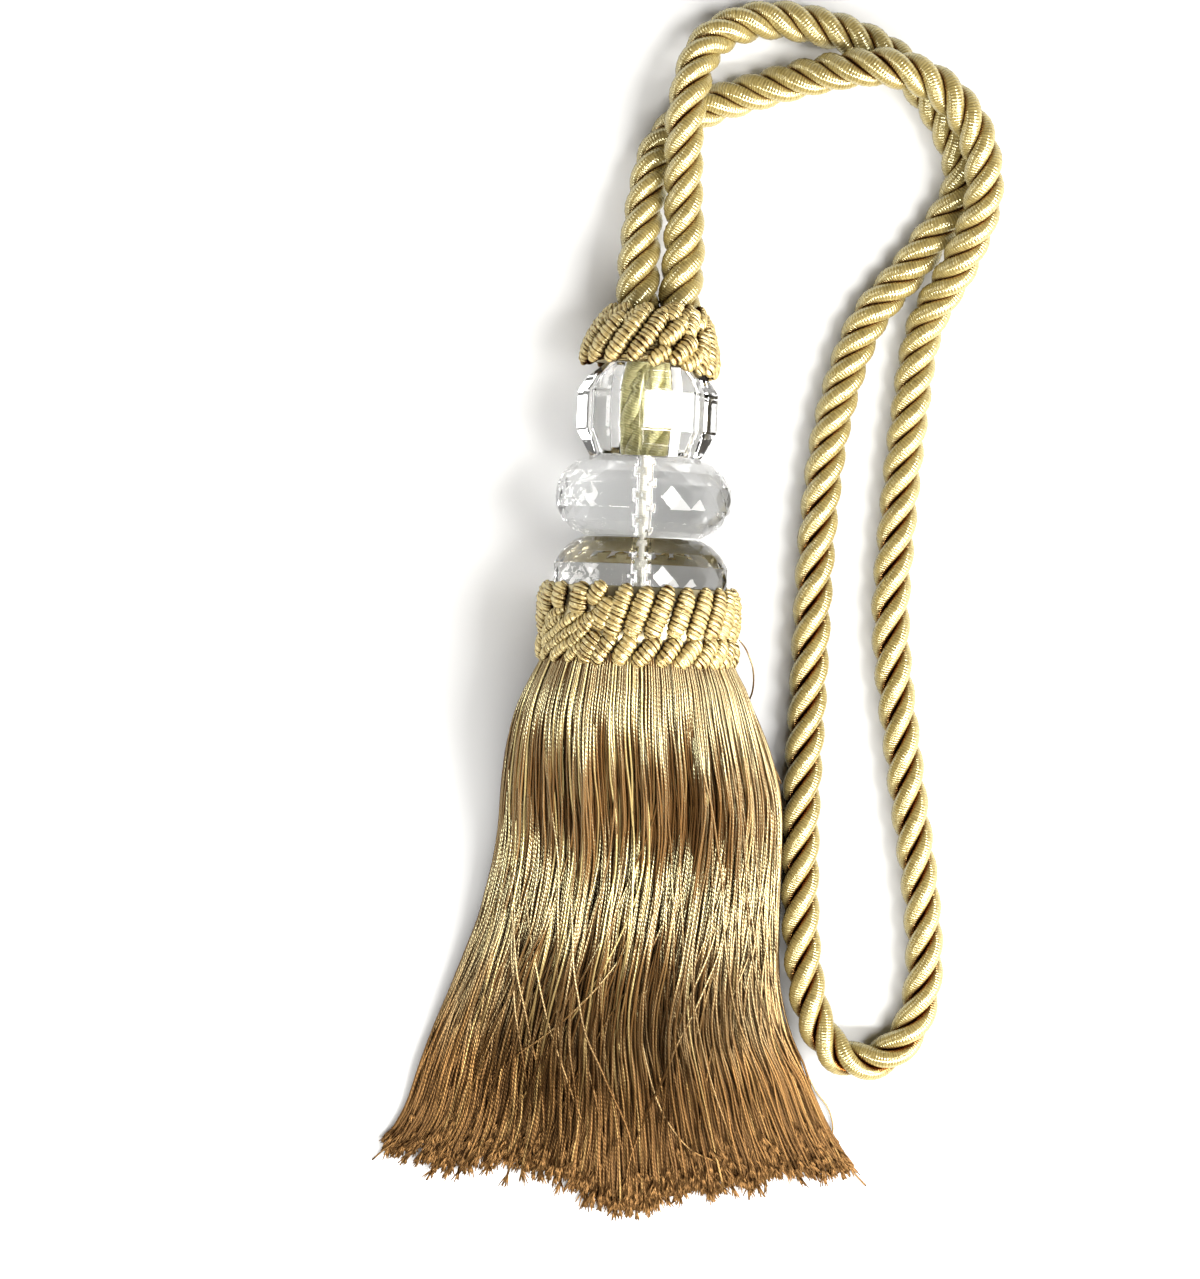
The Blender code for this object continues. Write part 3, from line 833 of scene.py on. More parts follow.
@dataclass
class Studio:
    """The pale table, the soft lights and the camera of the picture."""

    aim: Triple = (-8.6, 33.0, 15.0)  # where the lights look
    drop: float = 1.26  # how far below it the picture's middle is
    distance: float = 1.0
    lean: float = math.radians(8.0)
    roll: float = math.radians(2.4)
    lens: float = 122.72
    sky: Colour = (1.0, 0.88, 0.74)
    sky_strength: float = 0.065
    table_radius: float = 3.0
    table_drop: float = 0.05 * MM
    table_sides: int = 96
    lamps: tuple[Lamp, ...] = (
        Lamp("window_light", 33.0, 0.0, 1.3, 0.50, 0.40, 17.0, (1.0, 0.985, 0.95)),
        Lamp("right_light", 62.0, -25.0, 1.3, 0.90, 0.90, 33.0, (1.0, 0.98, 0.94)),
        Lamp("skirt_light", 4.0, -38.0, 1.3, 2.00, 0.14, 31.0, (1.0, 0.985, 0.94)),
        Lamp("left_light", -70.0, 5.0, 1.5, 0.24, 0.9, 7.0, (1.0, 0.98, 0.95)),
    )

    def level_axes(self) -> tuple[Array, Array, Array]:
        """Right, towards the neck and back to the camera, as they are before the roll."""
        sine, cosine = math.sin(self.lean), math.cos(self.lean)
        return tuple(np.array(((1.0, 0.0, 0.0), (0.0, cosine, -sine), (0.0, sine, cosine))))

    @staticmethod
    def place(item: bpy.types.Object, right: Array, up: Array, back: Array, spot: Array) -> None:
        """Set an object's own axes and its place."""
        turn = np.vstack((np.stack((right, up, back, spot), axis=1), (0.0, 0.0, 0.0, 1.0)))
        item.matrix_world = turn.T.tolist()

    def add_camera(self) -> None:
        """Add the camera at the picture's viewing angle."""
        lens = bpy.data.cameras.new("camera")
        lens.lens = self.lens
        lens.sensor_width = 36.0
        lens.clip_start = 0.05
        lens.clip_end = 50.0
        camera = bpy.data.objects.new("camera", lens)
        bpy.context.scene.collection.objects.link(camera)
        side, neck, back = self.level_axes()
        right = side * math.cos(self.roll) + neck * math.sin(self.roll)
        up = neck * math.cos(self.roll) - side * math.sin(self.roll)
        target = np.array(self.aim) * MM - self.drop * MM * up
        self.place(camera, right, up, back, target + self.distance * back)
        bpy.context.scene.camera = camera

    def add_lamps(self) -> None:
        """Add the soft lights, each square to the line to the tassel."""
        side, neck, back = self.level_axes()
        for lamp in self.lamps:
            across, along = math.radians(lamp.across), math.radians(lamp.along)
            level = math.cos(across) * back + math.sin(across) * side
            away = math.cos(along) * level + math.sin(along) * neck
            light = bpy.data.lights.new(lamp.name, "AREA")
            light.shape = "RECTANGLE"
            light.size = lamp.width
            light.size_y = lamp.height
            light.energy = lamp.power
            light.color = lamp.colour
            item = bpy.data.objects.new(lamp.name, light)
            bpy.context.scene.collection.objects.link(item)
            right = unit(np.cross(neck, away))
            self.place(item, right, np.cross(away, right), away,
                       np.array(self.aim) * MM + lamp.distance * away)
            item.visible_camera = False

    def add_sky(self) -> None:
        """Fill the room with even pale light."""
        world = bpy.data.worlds.new("room")
        world.use_nodes = True
        shader = world.node_tree.nodes["Background"]
        shader.inputs["Color"].default_value = (*self.sky, 1.0)
        shader.inputs["Strength"].default_value = self.sky_strength
        bpy.context.scene.world = world
        bpy.context.scene.view_settings.view_transform = "Standard"

    def add_table(self) -> None:
        """Add the table top as one wide disc, flat at the height on which the tassel rests."""
        side = np.arange(self.table_sides)
        turn = TURN * side / self.table_sides
        rim = np.stack((self.table_radius * np.cos(turn), self.table_radius * np.sin(turn),
                        np.full(self.table_sides, -self.table_drop)), axis=-1)
        table = make_object("table_top", rim, [side[None, :]], smooth=False)
        table.data.materials.append(TableTop().build())

    def build(self) -> None:
        """Set up the camera first, then the lights and the table."""
        self.add_camera()
        self.add_lamps()
        self.add_sky()
        self.add_table()


# ---- Rope ----


ROPE_ROUTE = (
    (6.2, 108.0, 13.9), (6.8, 121.0, 12.8), (5.9, 140.0, 13.9), (6.0, 154.0, 14.3),
    (10.5, 168.2, 9.3), (22.0, 173.7, 5.0), (38.0, 172.3, 4.6), (53.0, 166.0, 4.6),
    (65.0, 152.8, 4.6), (69.6, 139.0, 4.6), (60.5, 121.5, 4.6), (49.4, 106.0, 4.6),
    (43.2, 85.0, 4.6), (40.8, 62.0, 4.6), (40.2, 20.0, 4.6), (40.1, -14.0, 5.1),
    (42.4, -45.5, 5.6), (46.4, -59.3, 5.6), (52.3, -66.1, 5.2), (60.6, -66.5, 4.8),
    (67.3, -60.1, 4.6), (70.3, -49.0, 4.6), (69.4, -31.0, 4.6), (63.7, 2.0, 4.6),
    (58.6, 36.0, 4.6), (58.8, 58.0, 4.6), (60.3, 84.0, 4.6), (63.0, 106.0, 4.9),
    (70.0, 121.5, 9.6), (74.1, 137.0, 13.1), (71.0, 151.3, 13.5), (61.5, 161.3, 13.9),
    (49.5, 164.5, 13.8), (36.0, 162.2, 8.5), (21.0, 157.4, 4.7), (9.0, 152.6, 4.6),
    (1.0, 145.0, 5.0), (-2.3, 132.0, 9.3), (-3.3, 118.5, 12.5), (-3.2, 108.0, 13.9),
)


@dataclass
class Rope:
    """The three-strand satin rope, from the cap round the holding loop and back.

    A strand's middle line is the rope's own line plus the strand's offset, turned once right-hand
    in each lay of the rope. The lay is tighter round the holding loop than on the long legs.
    """

    diameter: float = 9.2 * MM
    strands: int = 3
    strand_radius: float = 2.13 * MM
    strand_offset: float = 2.47 * MM
    lay: float = 25.0 * MM
    tight_lay: float = 19.5 * MM
    tight_span: Span = (45.0 * MM, 95.0 * MM)  # where along +Y the lay gets tighter
    step: float = 1.0 * MM
    sunk_length: float = 3.0 * MM
    end_swell: float = 0.10
    swell_length: float = 26.0 * MM
    full_swell: float = 0.3  # share of that length with the whole swelling
    tones: Span = (0.3, 0.7)
    sides: int = 18
    finish: SatinWrap = SatinWrap(
        "gold_rope", (0.180, 0.130, 0.040), (0.40, 0.312, 0.118), index=2.4)

    def sunk(self, line: Array, along: Array) -> tuple[Array, Array]:
        """Run both ends of the line straight on into the cap.

        Args:
            line: Points of the rope's line.
            along: Length from the start to each of them.

        Returns:
            The longer line, and the length from the old start to each of its points.
        """
        more = np.linspace(self.sunk_length, 0.0, 4)[:-1, None]
        start = line[0] - unit(line[1] - line[0]) * more
        end = line[-1] + unit(line[-1] - line[-2]) * more[::-1]
        marks = np.concatenate((along[0] - more[:, 0], along, along[-1] + more[::-1, 0]))
        return np.vstack((start, line, end)), marks

    def strand_tubes(self, line: Array, along: Array) -> Tubes:
        """Wind the strands round the rope's line.

        Args:
            line: Points of the rope's line.
            along: Length from the start to each of them.

        Returns:
            The strands.
        """
        heading = unit(np.gradient(line, axis=0))
        side = unit(np.cross(heading, UP))
        above = np.cross(side, heading)
        first = (np.arange(self.strands)[:, None] + 0.5) / self.strands
        lay = self.lay - (self.lay - self.tight_lay) * ease(*self.tight_span, line[:, 1])
        turns = np.concatenate(([0.0], np.cumsum(2.0 * np.diff(along) / (lay[1:] + lay[:-1]))))
        turn = TURN * (first - turns[None, :])
        outward = np.cos(turn)[..., None] * side + np.sin(turn)[..., None] * above
        to_end = np.minimum(along, along[-1] - along)
        full = self.full_swell * self.swell_length
        swell = 1.0 + self.end_swell * ease(self.swell_length, full, to_end)
        paths = line + self.strand_offset * swell[None, :, None] * outward
        tone = np.linspace(*self.tones, self.strands)
        half = self.strand_radius * swell
        return round_tubes(paths, outward, half, self.sides, tone).above_table()

    def build(self) -> None:
        line, along = smooth_line(ROPE_ROUTE, self.step)
        rope = weave("rope_strands", [self.strand_tubes(*self.sunk(line, along))])
        dress(rope, self.finish.build(), Slot.ROPE, "rope")


# ---- Head ----


@dataclass(frozen=True)
class HeadAxis:
    """The axis of the tassel's head, which leans down towards the neck.

    Head coordinates are x, the distance a along the axis from the lower collar's bottom edge, and
    the height above the axis, in that order.
    """

    lean: float = math.radians(8.0)
    foot_y: float = 28.0 * MM
    rest_a: float = 17.0 * MM
    rest_height: float = 22.77 * MM

    def height(self, a: float | Array) -> float | Array:
        """Height of the axis above the table."""
        return self.rest_height - (a - self.rest_a) * math.sin(self.lean)

    def place(self, local: Array) -> Array:
        """Turn head coordinates into places in the row frame.

        Args:
            local: Head coordinates on the last axis.

        Returns:
            Places in the row frame, in the same shape.
        """
        x, a, rise = local[..., 0], local[..., 1], local[..., 2]
        y = self.foot_y + a * math.cos(self.lean) + rise * math.sin(self.lean)
        z = self.height(a) + rise * math.cos(self.lean)
        return np.stack((x, y, z), axis=-1)

    @staticmethod
    def spot(turn: Array, a: Array, radius: Array) -> Array:
        """Head coordinates of a point at a turn from the top, a distance along and a radius."""
        across, rise = radius * np.sin(turn), radius * np.cos(turn)
        return np.stack(np.broadcast_arrays(across, a, rise), axis=-1)


@dataclass
class GimpLumps:
    """A run of wrapped gimp lumps, each a fat bent tube with ridges.

    A lump's middle line goes from its foot to its crown while it turns by its lean. Its thickness
    is the root of one less the fourth power of the way from its middle to its end, so that its
    ends are round. Its ridges are the absolute sine of its length over their pitch plus its turns.

    Attributes:
        turn: Where each lump's middle stands round the head's axis, in radians.
        lean: How far each lump turns from foot to crown, in radians.
        foot: Where each lump starts along the axis.
        crown: Where each lump ends along the axis.
        half_width: Half its width.
        half_depth: Half its thickness outwards.
        radius: Radius of a lump's middle line, from the distance along and the share of its length.
        ridge_pitch: Spacing of the ridges.
        ridge_depth: How deep the ridges are, as a share of the thickness.
        ridge_wander: How far the ridges stray from even spacing, in millimetres.
        wander_waves: The sines of the length by which they stray.
        depth_waves: The sines of the ridge's number by which their depth differs.
        side_wave: The same round the lump: height, rate and turns.
        unevenness: How much the ridges' depth differs.
        end_gap: Angle that is left out at both ends of the lump's round form.
        stations: Points along a lump.
        sides: Points round it.
    """

    turn: Array
    lean: Array
    foot: Array
    crown: Array
    half_width: Array
    half_depth: Array
    radius: Callable[[Array, Array], Array]
    ridge_pitch: float = 1.05
    ridge_depth: float = 0.21
    ridge_wander: float = 0.11
    wander_waves: tuple[Triple, ...] = ((1.0, 2.1, 1.0), (1.0, 4.3, 2.0))
    depth_waves: tuple[Triple, ...] = ((0.55, 2.4, 1.0), (0.45, 5.3, 2.0))
    side_wave: Triple = (0.5, 3.1, 4.0)
    unevenness: float = 0.34
    end_gap: float = 0.06
    stations: int = 84
    sides: int = 18

    @classmethod
    def from_table(cls, rows: Sequence[tuple[float, ...]], radius: Callable[[Array, Array], Array],
                   stations: int) -> "GimpLumps":
        """Read lumps from a table.

        Args:
            rows: Turn and lean in degrees, and foot, crown, half width and half depth in
                millimetres.
            radius: Radius of a lump's middle line.
            stations: Points along a lump.

        Returns:
            The lumps.
        """
        table = np.array(rows)
        angles, sizes = np.radians(table[:, :2].T), table[:, 2:].T * MM
        return cls(*angles, *sizes, radius, stations=stations)

    def keep(self, chosen: Array) -> "GimpLumps":
        """The same run with the chosen lumps alone."""
        labels = ("turn", "lean", "foot", "crown", "half_width", "half_depth")
        return replace(self, **{label: getattr(self, label)[chosen] for label in labels})

    def tubes(self, tone: Array) -> Tubes:
        """Make the lumps, in head coordinates.

        Args:
            tone: Each lump's own shade.

        Returns:
            The lumps.
        """
        angle = np.linspace(self.end_gap, math.pi - self.end_gap, self.stations)
        share = 0.5 - 0.5 * np.cos(angle)[None, :]
        a = self.foot[:, None] + (self.crown - self.foot)[:, None] * share
        turn = self.turn[:, None] + self.lean[:, None] * (share - 0.5)
        paths = HeadAxis.spot(turn, a, self.radius(a, share))
        outward = HeadAxis.spot(turn, np.zeros_like(a), np.ones_like(a))
        marks = length_along(paths)
        start = self.turn[:, None] * 11.0
        marks = marks + self.ridge_wander * sines(marks, start, self.wander_waves)
        swell = (1.0 - np.abs(2.0 * share - 1.0) ** 4) ** 0.5
        round_ = (np.arange(self.sides) / self.sides)[None, None, :]
        phase = marks[:, :, None] / self.ridge_pitch + round_
        start = self.turn[:, None, None] * 7.0
        height, rate, turns = self.side_wave
        uneven = sines(phase, start, self.depth_waves)
        uneven = uneven + height * np.sin(rate * phase + turns * TURN * round_ + start)
        crest = (1.0 + self.unevenness * uneven) * np.abs(np.sin(math.pi * phase))
        thick = swell[:, :, None] * (1.0 - self.ridge_depth * (1.0 - crest))
        points = carry_ring(paths, outward, thick * self.half_depth[:, None, None],
                            thick * self.half_width[:, None, None])
        return Tubes(points, marks, tone, np.broadcast_to(share, marks.shape))


@dataclass
class LowerCollar:
    """The gimp ring round the skirt's head: a row of knots under a row of long leaning lumps."""

    axis: HeadAxis
    lumps: int = 28
    long_foot: float = 4.9 * MM
    long_crown: float = 17.7 * MM
    knot_foot: float = -0.2 * MM
    knot_crown: float = 6.4 * MM
    middle_radius: float = 21.7 * MM
    curl: float = 1.0 * MM
    half_depth: float = 1.75 * MM
    band_radius: float = 21.1 * MM
    bore: float = 20.35 * MM
    back_radius: float = 20.7 * MM
    join_left: float = -74.0  # edges of the join, in degrees
    join_right: Span = (-18.0, -33.0)  # for the long lumps and for the knots
    join: tuple[tuple[float, ...], ...] = (
        (-70.0, 4.0, 9.8, 17.4, 2.3, 1.7), (-56.0, 3.0, 11.4, 17.7, 2.5, 1.7),
        (-38.5, 3.0, 10.2, 17.8, 2.6, 1.8), (-26.5, 7.0, 13.0, 17.9, 2.2, 1.6),
        (-21.5, 9.0, 7.4, 14.6, 2.6, 1.8), (-30.0, 10.0, 0.0, 6.6, 2.4, 1.8),
        (-68.0, 22.0, 0.0, 4.6, 1.3, 1.3), (-66.0, 24.0, 2.6, 7.4, 1.3, 1.4),
        (-65.0, 26.0, 5.2, 10.4, 1.3, 1.4), (-62.0, 24.0, 8.2, 12.2, 1.3, 1.3),
        (-52.0, 24.0, 0.0, 5.2, 1.4, 1.4), (-50.0, 28.0, 2.8, 8.4, 1.4, 1.5),
        (-48.0, 28.0, 5.8, 11.6, 1.4, 1.5), (-38.0, 18.0, 2.6, 8.6, 1.5, 1.5),
        (-36.0, 20.0, 5.6, 11.2, 1.5, 1.5), (-40.0, 16.0, 0.0, 4.6, 1.4, 1.4),
        (-30.5, 12.0, 6.4, 11.6, 1.7, 1.6),
    )
    finish: GimpWrap = GimpWrap("gold_gimp")
    band_sides: int = 112
    band_finish: BoundThread = BoundThread("woven_band", (0.50, 0.44, 0.28), (0.36, 0.30, 0.17))
    seed: int = 5

    def middle(self, a: Array, share: Array) -> Array:
        """Radius of a lump's middle line: it dips by the curl at both ends."""
        return self.middle_radius - self.curl * np.abs(2.0 * share - 1.0) ** 3

    def rows(self) -> list[Tubes]:
        """Make the row of long lumps, the row of knots and the lumps of the join.

        Returns:
            The three runs, in head coordinates.
        """
        chance = np.random.default_rng(self.seed)
        pitch = TURN / self.lumps
        count = self.lumps
        jitter = chance.normal(0.0, 1.0, (6, count))
        turn = pitch * np.arange(count)
        long_row = GimpLumps(
            turn=turn + 0.05 * pitch * jitter[0],
            lean=np.full(count, 0.21) + 0.02 * jitter[1],
            foot=self.long_foot + 0.25 * MM * jitter[2],
            crown=self.long_crown + 0.2 * MM * jitter[3],
            half_width=2.42 * MM * (1.0 + 0.04 * jitter[4]),
            half_depth=np.full(count, self.half_depth),
            radius=self.middle)
        knots = GimpLumps(
            turn=turn + 0.42 * pitch + 0.06 * pitch * jitter[5],
            lean=np.full(count, 0.20) + 0.03 * jitter[2],
            foot=self.knot_foot + 0.15 * MM * jitter[3],
            crown=self.knot_crown + 0.3 * MM * jitter[1],
            half_width=2.22 * MM * (1.0 + 0.05 * jitter[0]),
            half_depth=np.full(count, self.half_depth),
            radius=self.middle, stations=46)
        joined = GimpLumps.from_table(self.join, self.middle, 60)
        runs = [run.keep(self.clear_of_join(run.turn, right))
                for run, right in zip((long_row, knots), self.join_right)]
        return [run.tubes(chance.random(len(run.turn))) for run in (*runs, joined)]

    def press_back(self, local: Array) -> Array:
        """Press the lumps' backs flat on the band: no point is nearer the axis than back_radius."""
        out = np.maximum(self.back_radius / np.hypot(local[..., 0], local[..., 2]), 1.0)
        return local * np.stack((out, np.ones_like(out), out), axis=-1)

    def clear_of_join(self, turn: Array, right: float) -> Array:
        """Tell which lumps stand clear of the join, whose right edge is at the given degrees."""
        degrees = (np.degrees(turn) + 180.0) % 360.0 - 180.0
        return (degrees < self.join_left) | (degrees > right)

    def band(self) -> Tubes:
        """Make the woven band behind the lumps: a flat ring between the bore and the lumps.

        Returns:
            The band, in head coordinates.
        """
        outer, inner = self.band_radius, self.bore
        profile = np.array([
            (0.5, outer), (8.0, outer + 0.3 * MM), (16.9, outer), (17.3, inner + 0.3 * MM),
            (16.9, inner), (8.0, inner), (3.6, inner), (0.6, inner + 0.6 * MM)])
        turn = TURN * np.arange(self.band_sides) / self.band_sides
        local = HeadAxis.spot(turn[None, :], profile[:, :1] * MM, profile[:, 1:])
        marks = np.arange(len(profile), dtype=float)[None, :]
        return Tubes(local[None], marks, np.array([0.1]), np.zeros_like(marks), ring=True)

    def build(self) -> None:
        """Make the collar and dress it."""
        rows, band = self.rows(), self.band()
        for batch in rows:
            batch.points = self.press_back(batch.points)
        for batch in (*rows, band):
            batch.points = self.axis.place(batch.points)
            batch.above_table()
        dress(weave("lower_collar_gimp", rows), self.finish.build(), Slot.GIMP, "lower_collar")
        lining = weave("lower_collar_band", [band])
        dress(lining, self.band_finish.build(), Slot.GIMP, "lower_collar")


@dataclass
class Cap:
    """The gimp cap over the barrel bead, out of which the rope's two ends come."""

    axis: HeadAxis
    back_lumps: int = 10
    crown_lumps: int = 12
    front: tuple[tuple[float, ...], ...] = (
        (-72.0, 20.0, 67.9, 78.6, 2.2, 2.0), (-49.0, 23.0, 67.7, 79.4, 2.4, 2.2),
        (-25.5, 27.0, 67.6, 80.2, 2.4, 2.3), (-4.0, 29.0, 67.9, 79.6, 2.4, 2.3),
        (8.0, 16.0, 67.4, 71.2, 2.0, 1.9), (20.0, 26.0, 71.6, 77.6, 2.3, 2.2),
        (23.0, 16.0, 77.0, 81.2, 2.2, 1.9), (31.0, 24.0, 67.6, 74.2, 2.3, 2.1),
        (40.0, 20.0, 66.9, 71.4, 2.0, 1.9), (43.0, 20.0, 73.8, 80.2, 2.3, 2.0),
        (53.0, 12.0, 66.8, 75.8, 2.2, 2.0), (68.0, 12.0, 67.4, 77.6, 2.3, 2.0),
    )
    floor: float = 68.3 * MM
    top: float = 80.0 * MM
    lean_x: float = 1.0 * MM
    droop: float = 2.6 * MM
    droop_from: float = 8.0 * MM
    droop_to: float = 15.0 * MM
    shell: tuple[Span, ...] = (
        (67.0, 14.25), (68.0, 14.65), (70.0, 14.45), (73.4, 13.55), (76.6, 12.25), (79.2, 10.65),
        (81.4, 8.85))
    body: tuple[Span, ...] = (
        (68.35, 12.6), (69.5, 13.6), (73.4, 12.9), (76.6, 11.3), (79.2, 9.0), (79.9, 6.0))
    body_sides: int = 48
    finish: GimpWrap = GimpWrap("gold_gimp_cap")
    seed: int = 9

    def middle(self, a: Array, _: Array) -> Array:
        """Radius of a lump's middle line, read from the shell's curve."""
        return read_curve(a, *(np.array(self.shell) * MM).T)

    def shape(self, local: Array) -> Array:
        """Droop the cap's right edge and lean its crown to the right.

        Args:
            local: Head coordinates.

        Returns:
            The same points, moved.
        """
        rise = (local[..., 1] - self.floor) / (self.top - self.floor)
        side = (local[..., 0] - self.droop_from) / (self.droop_to - self.droop_from)
        moved = local.copy()
        moved[..., 0] += self.lean_x * rise
        moved[..., 1] -= self.droop * np.clip(side, 0.0, 1.0) * (1.0 - np.clip(rise, 0.0, 1.0))
        return moved

    def rows(self) -> list[Tubes]:
        """Make the front lumps from their table, and even ones round the back and the crown.

        Returns:
            The three runs, in head coordinates.
        """
        chance = np.random.default_rng(self.seed)
        count = self.back_lumps
        jitter = chance.normal(0.0, 1.0, (4, count))
        front = GimpLumps.from_table(self.front, self.middle, 80)
        back = GimpLumps(
            turn=np.radians(np.linspace(78.0, 278.0, count)) + 0.02 * jitter[0],
            lean=0.44 + 0.05 * jitter[1],
            foot=67.9 * MM + 0.2 * MM * jitter[2],
            crown=79.6 * MM + 0.2 * MM * jitter[3],
            half_width=np.full(count, 3.0 * MM),
            half_depth=np.full(count, 1.9 * MM),
            radius=self.middle)
        number = self.crown_lumps
        crown = GimpLumps(
            turn=TURN * (np.arange(number) + 0.35) / number,
            lean=np.full(number, 0.5),
            foot=np.full(number, 76.6 * MM),
            crown=np.full(number, 80.7 * MM),
            half_width=np.full(number, 2.1 * MM),
            half_depth=np.full(number, 1.5 * MM),
            radius=self.middle, stations=44)
        return [run.tubes(chance.random(len(run.turn))) for run in (front, back, crown)]

    def dome(self) -> Tubes:
        """The closed body under the lumps, turned round the head's axis from its own radii."""
        a, radius = np.array(self.body).T * MM
        return turn_body(a, radius, self.body_sides, 0.1, reach=1.0)

    def build(self) -> None:
        """Make the cap and dress it."""
        batches = [*self.rows(), self.dome()]
        for batch in batches:
            batch.points = self.axis.place(self.shape(batch.points))
            batch.above_table()
        dress(weave("cap_gimp", batches), self.finish.build(), Slot.GIMP, "upper_collar")


# ---- Beads ----


def facets(rings: int, sides: int, shifted: Sequence[int] = ()) -> list[Array]:
    """Lay facets between the rings of a bead: quads, or pairs of triangles by a shifted ring.

    Args:
        rings: How many rings the bead has; the last one joins the first.
        sides: Corners of a ring.
        shifted: The rings that stand half a facet round.

    Returns:
        The triangles, if there are any, and the quads.
    """
    side = np.arange(sides)
    ahead = (side + 1) % sides
    triangles, quads = [], []
    for ring in range(rings):
        after = (ring + 1) % rings
        near, near_ahead = ring * sides + side, ring * sides + ahead
        far, far_ahead = after * sides + side, after * sides + ahead
        if after in shifted:
            triangles += [(near, near_ahead, far), (near_ahead, far_ahead, far)]
        elif ring in shifted:
            triangles += [(near, far_ahead, far), (near, near_ahead, far_ahead)]
        else:
            quads.append((near, near_ahead, far_ahead, far))
    return [np.concatenate([np.stack(corners, axis=-1) for corners in group])
            for group in (triangles, quads) if group]


def mould_bead(node: str, points: Array, faces: Sequence[Array], material: bpy.types.Material,
               rounding: tuple[float, int]) -> None:
    """Put a bead into the scene, dress it and round the edges between its facets.

    Args:
        node: The CAD node that it replaces.
        points: Its corners.
        faces: Its facets.
        material: The beads' acrylic.
        rounding: Width of the rounding, and the faces across it.
    """
    bead = make_object(f"{node}_cut", points, faces, smooth=False)
    dress(bead, material, Slot.ACRYLIC, node)
    bevel = bead.modifiers.new("rounded_edges", "BEVEL")
    bevel.width, bevel.segments = rounding
    bevel.limit_method = "ANGLE"
    bevel.angle_limit = math.radians(4.0)
    bevel.harden_normals = False


@dataclass
class CutBead:
    """A squat clear bead with two tiers of three-cornered facets on each side of its equator."""

    axis: HeadAxis
    node: str
    middle: float
    turn: float = 0.0
    sides: int = 26
    half: float = 8.9 * MM
    bore: float = 1.6 * MM
    radius: float = 20.1 * MM
    tiers: tuple[Span, ...] = ((2.7, 19.85), (5.6, 18.2), (7.8, 15.8), (8.9, 13.5))
    rounding: tuple[float, int] = (0.34 * MM, 3)

    def ring(self, radius: float, a: float, shift: float) -> Array:
        """One ring of corners, shifted by a share of a facet."""
        turn = self.turn + TURN * (np.arange(self.sides) + 0.5 + shift) / self.sides
        return HeadAxis.spot(turn, np.array(a), np.array(radius))

    def build(self, material: bpy.types.Material) -> None:
        """Make the bead and dress it.

        Args:
            material: The beads' acrylic.
        """
        outer = [(0.0, self.radius), *((height * MM, radius * MM) for height, radius in self.tiers)]
        heights = [(-height, radius) for height, radius in outer[:0:-1]] + outer
        rings = [self.ring(self.bore, self.middle - self.half, 0.0)]
        for index, (height, radius) in enumerate(heights):
            rings.append(self.ring(radius, self.middle + height, 0.5 * (index % 2)))
        rings.append(self.ring(self.bore, self.middle + self.half, 0.0))
        points = self.axis.place(np.concatenate(rings))
        shifted = range(2, len(rings) - 1, 2)
        mould_bead(self.node, points, facets(len(rings), self.sides, shifted), material,
                   self.rounding)


@dataclass
class BarrelBead:
    """The eight-sided clear bead under the cap, with a wide bore for the rope's ends."""

    axis: HeadAxis
    sides: int = 8
    bore: float = 6.5 * MM
    facet_turn: float = math.radians(18.8)
    profile: tuple[Span, ...] = (
        (46.8, 12.7), (52.7, 16.0), (61.7, 16.0), (64.8, 13.9), (68.0, 10.0))
    rounding: tuple[float, int] = (0.3 * MM, 2)

    def build(self, material: bpy.types.Material) -> None:
        """Make the bead and dress it.

        Args:
            material: The beads' acrylic.
        """
        table = np.array(self.profile) * MM
        table = np.vstack(((table[0, 0], self.bore), table, (table[-1, 0], self.bore)))
        turn = self.facet_turn + TURN * (np.arange(self.sides) + 0.5) / self.sides
        local = HeadAxis.spot(turn[None, :], table[:, :1], table[:, 1:])
        points = self.axis.place(local.reshape(-1, 3))
        mould_bead("bead_upper", points, facets(len(table), self.sides), material, self.rounding)


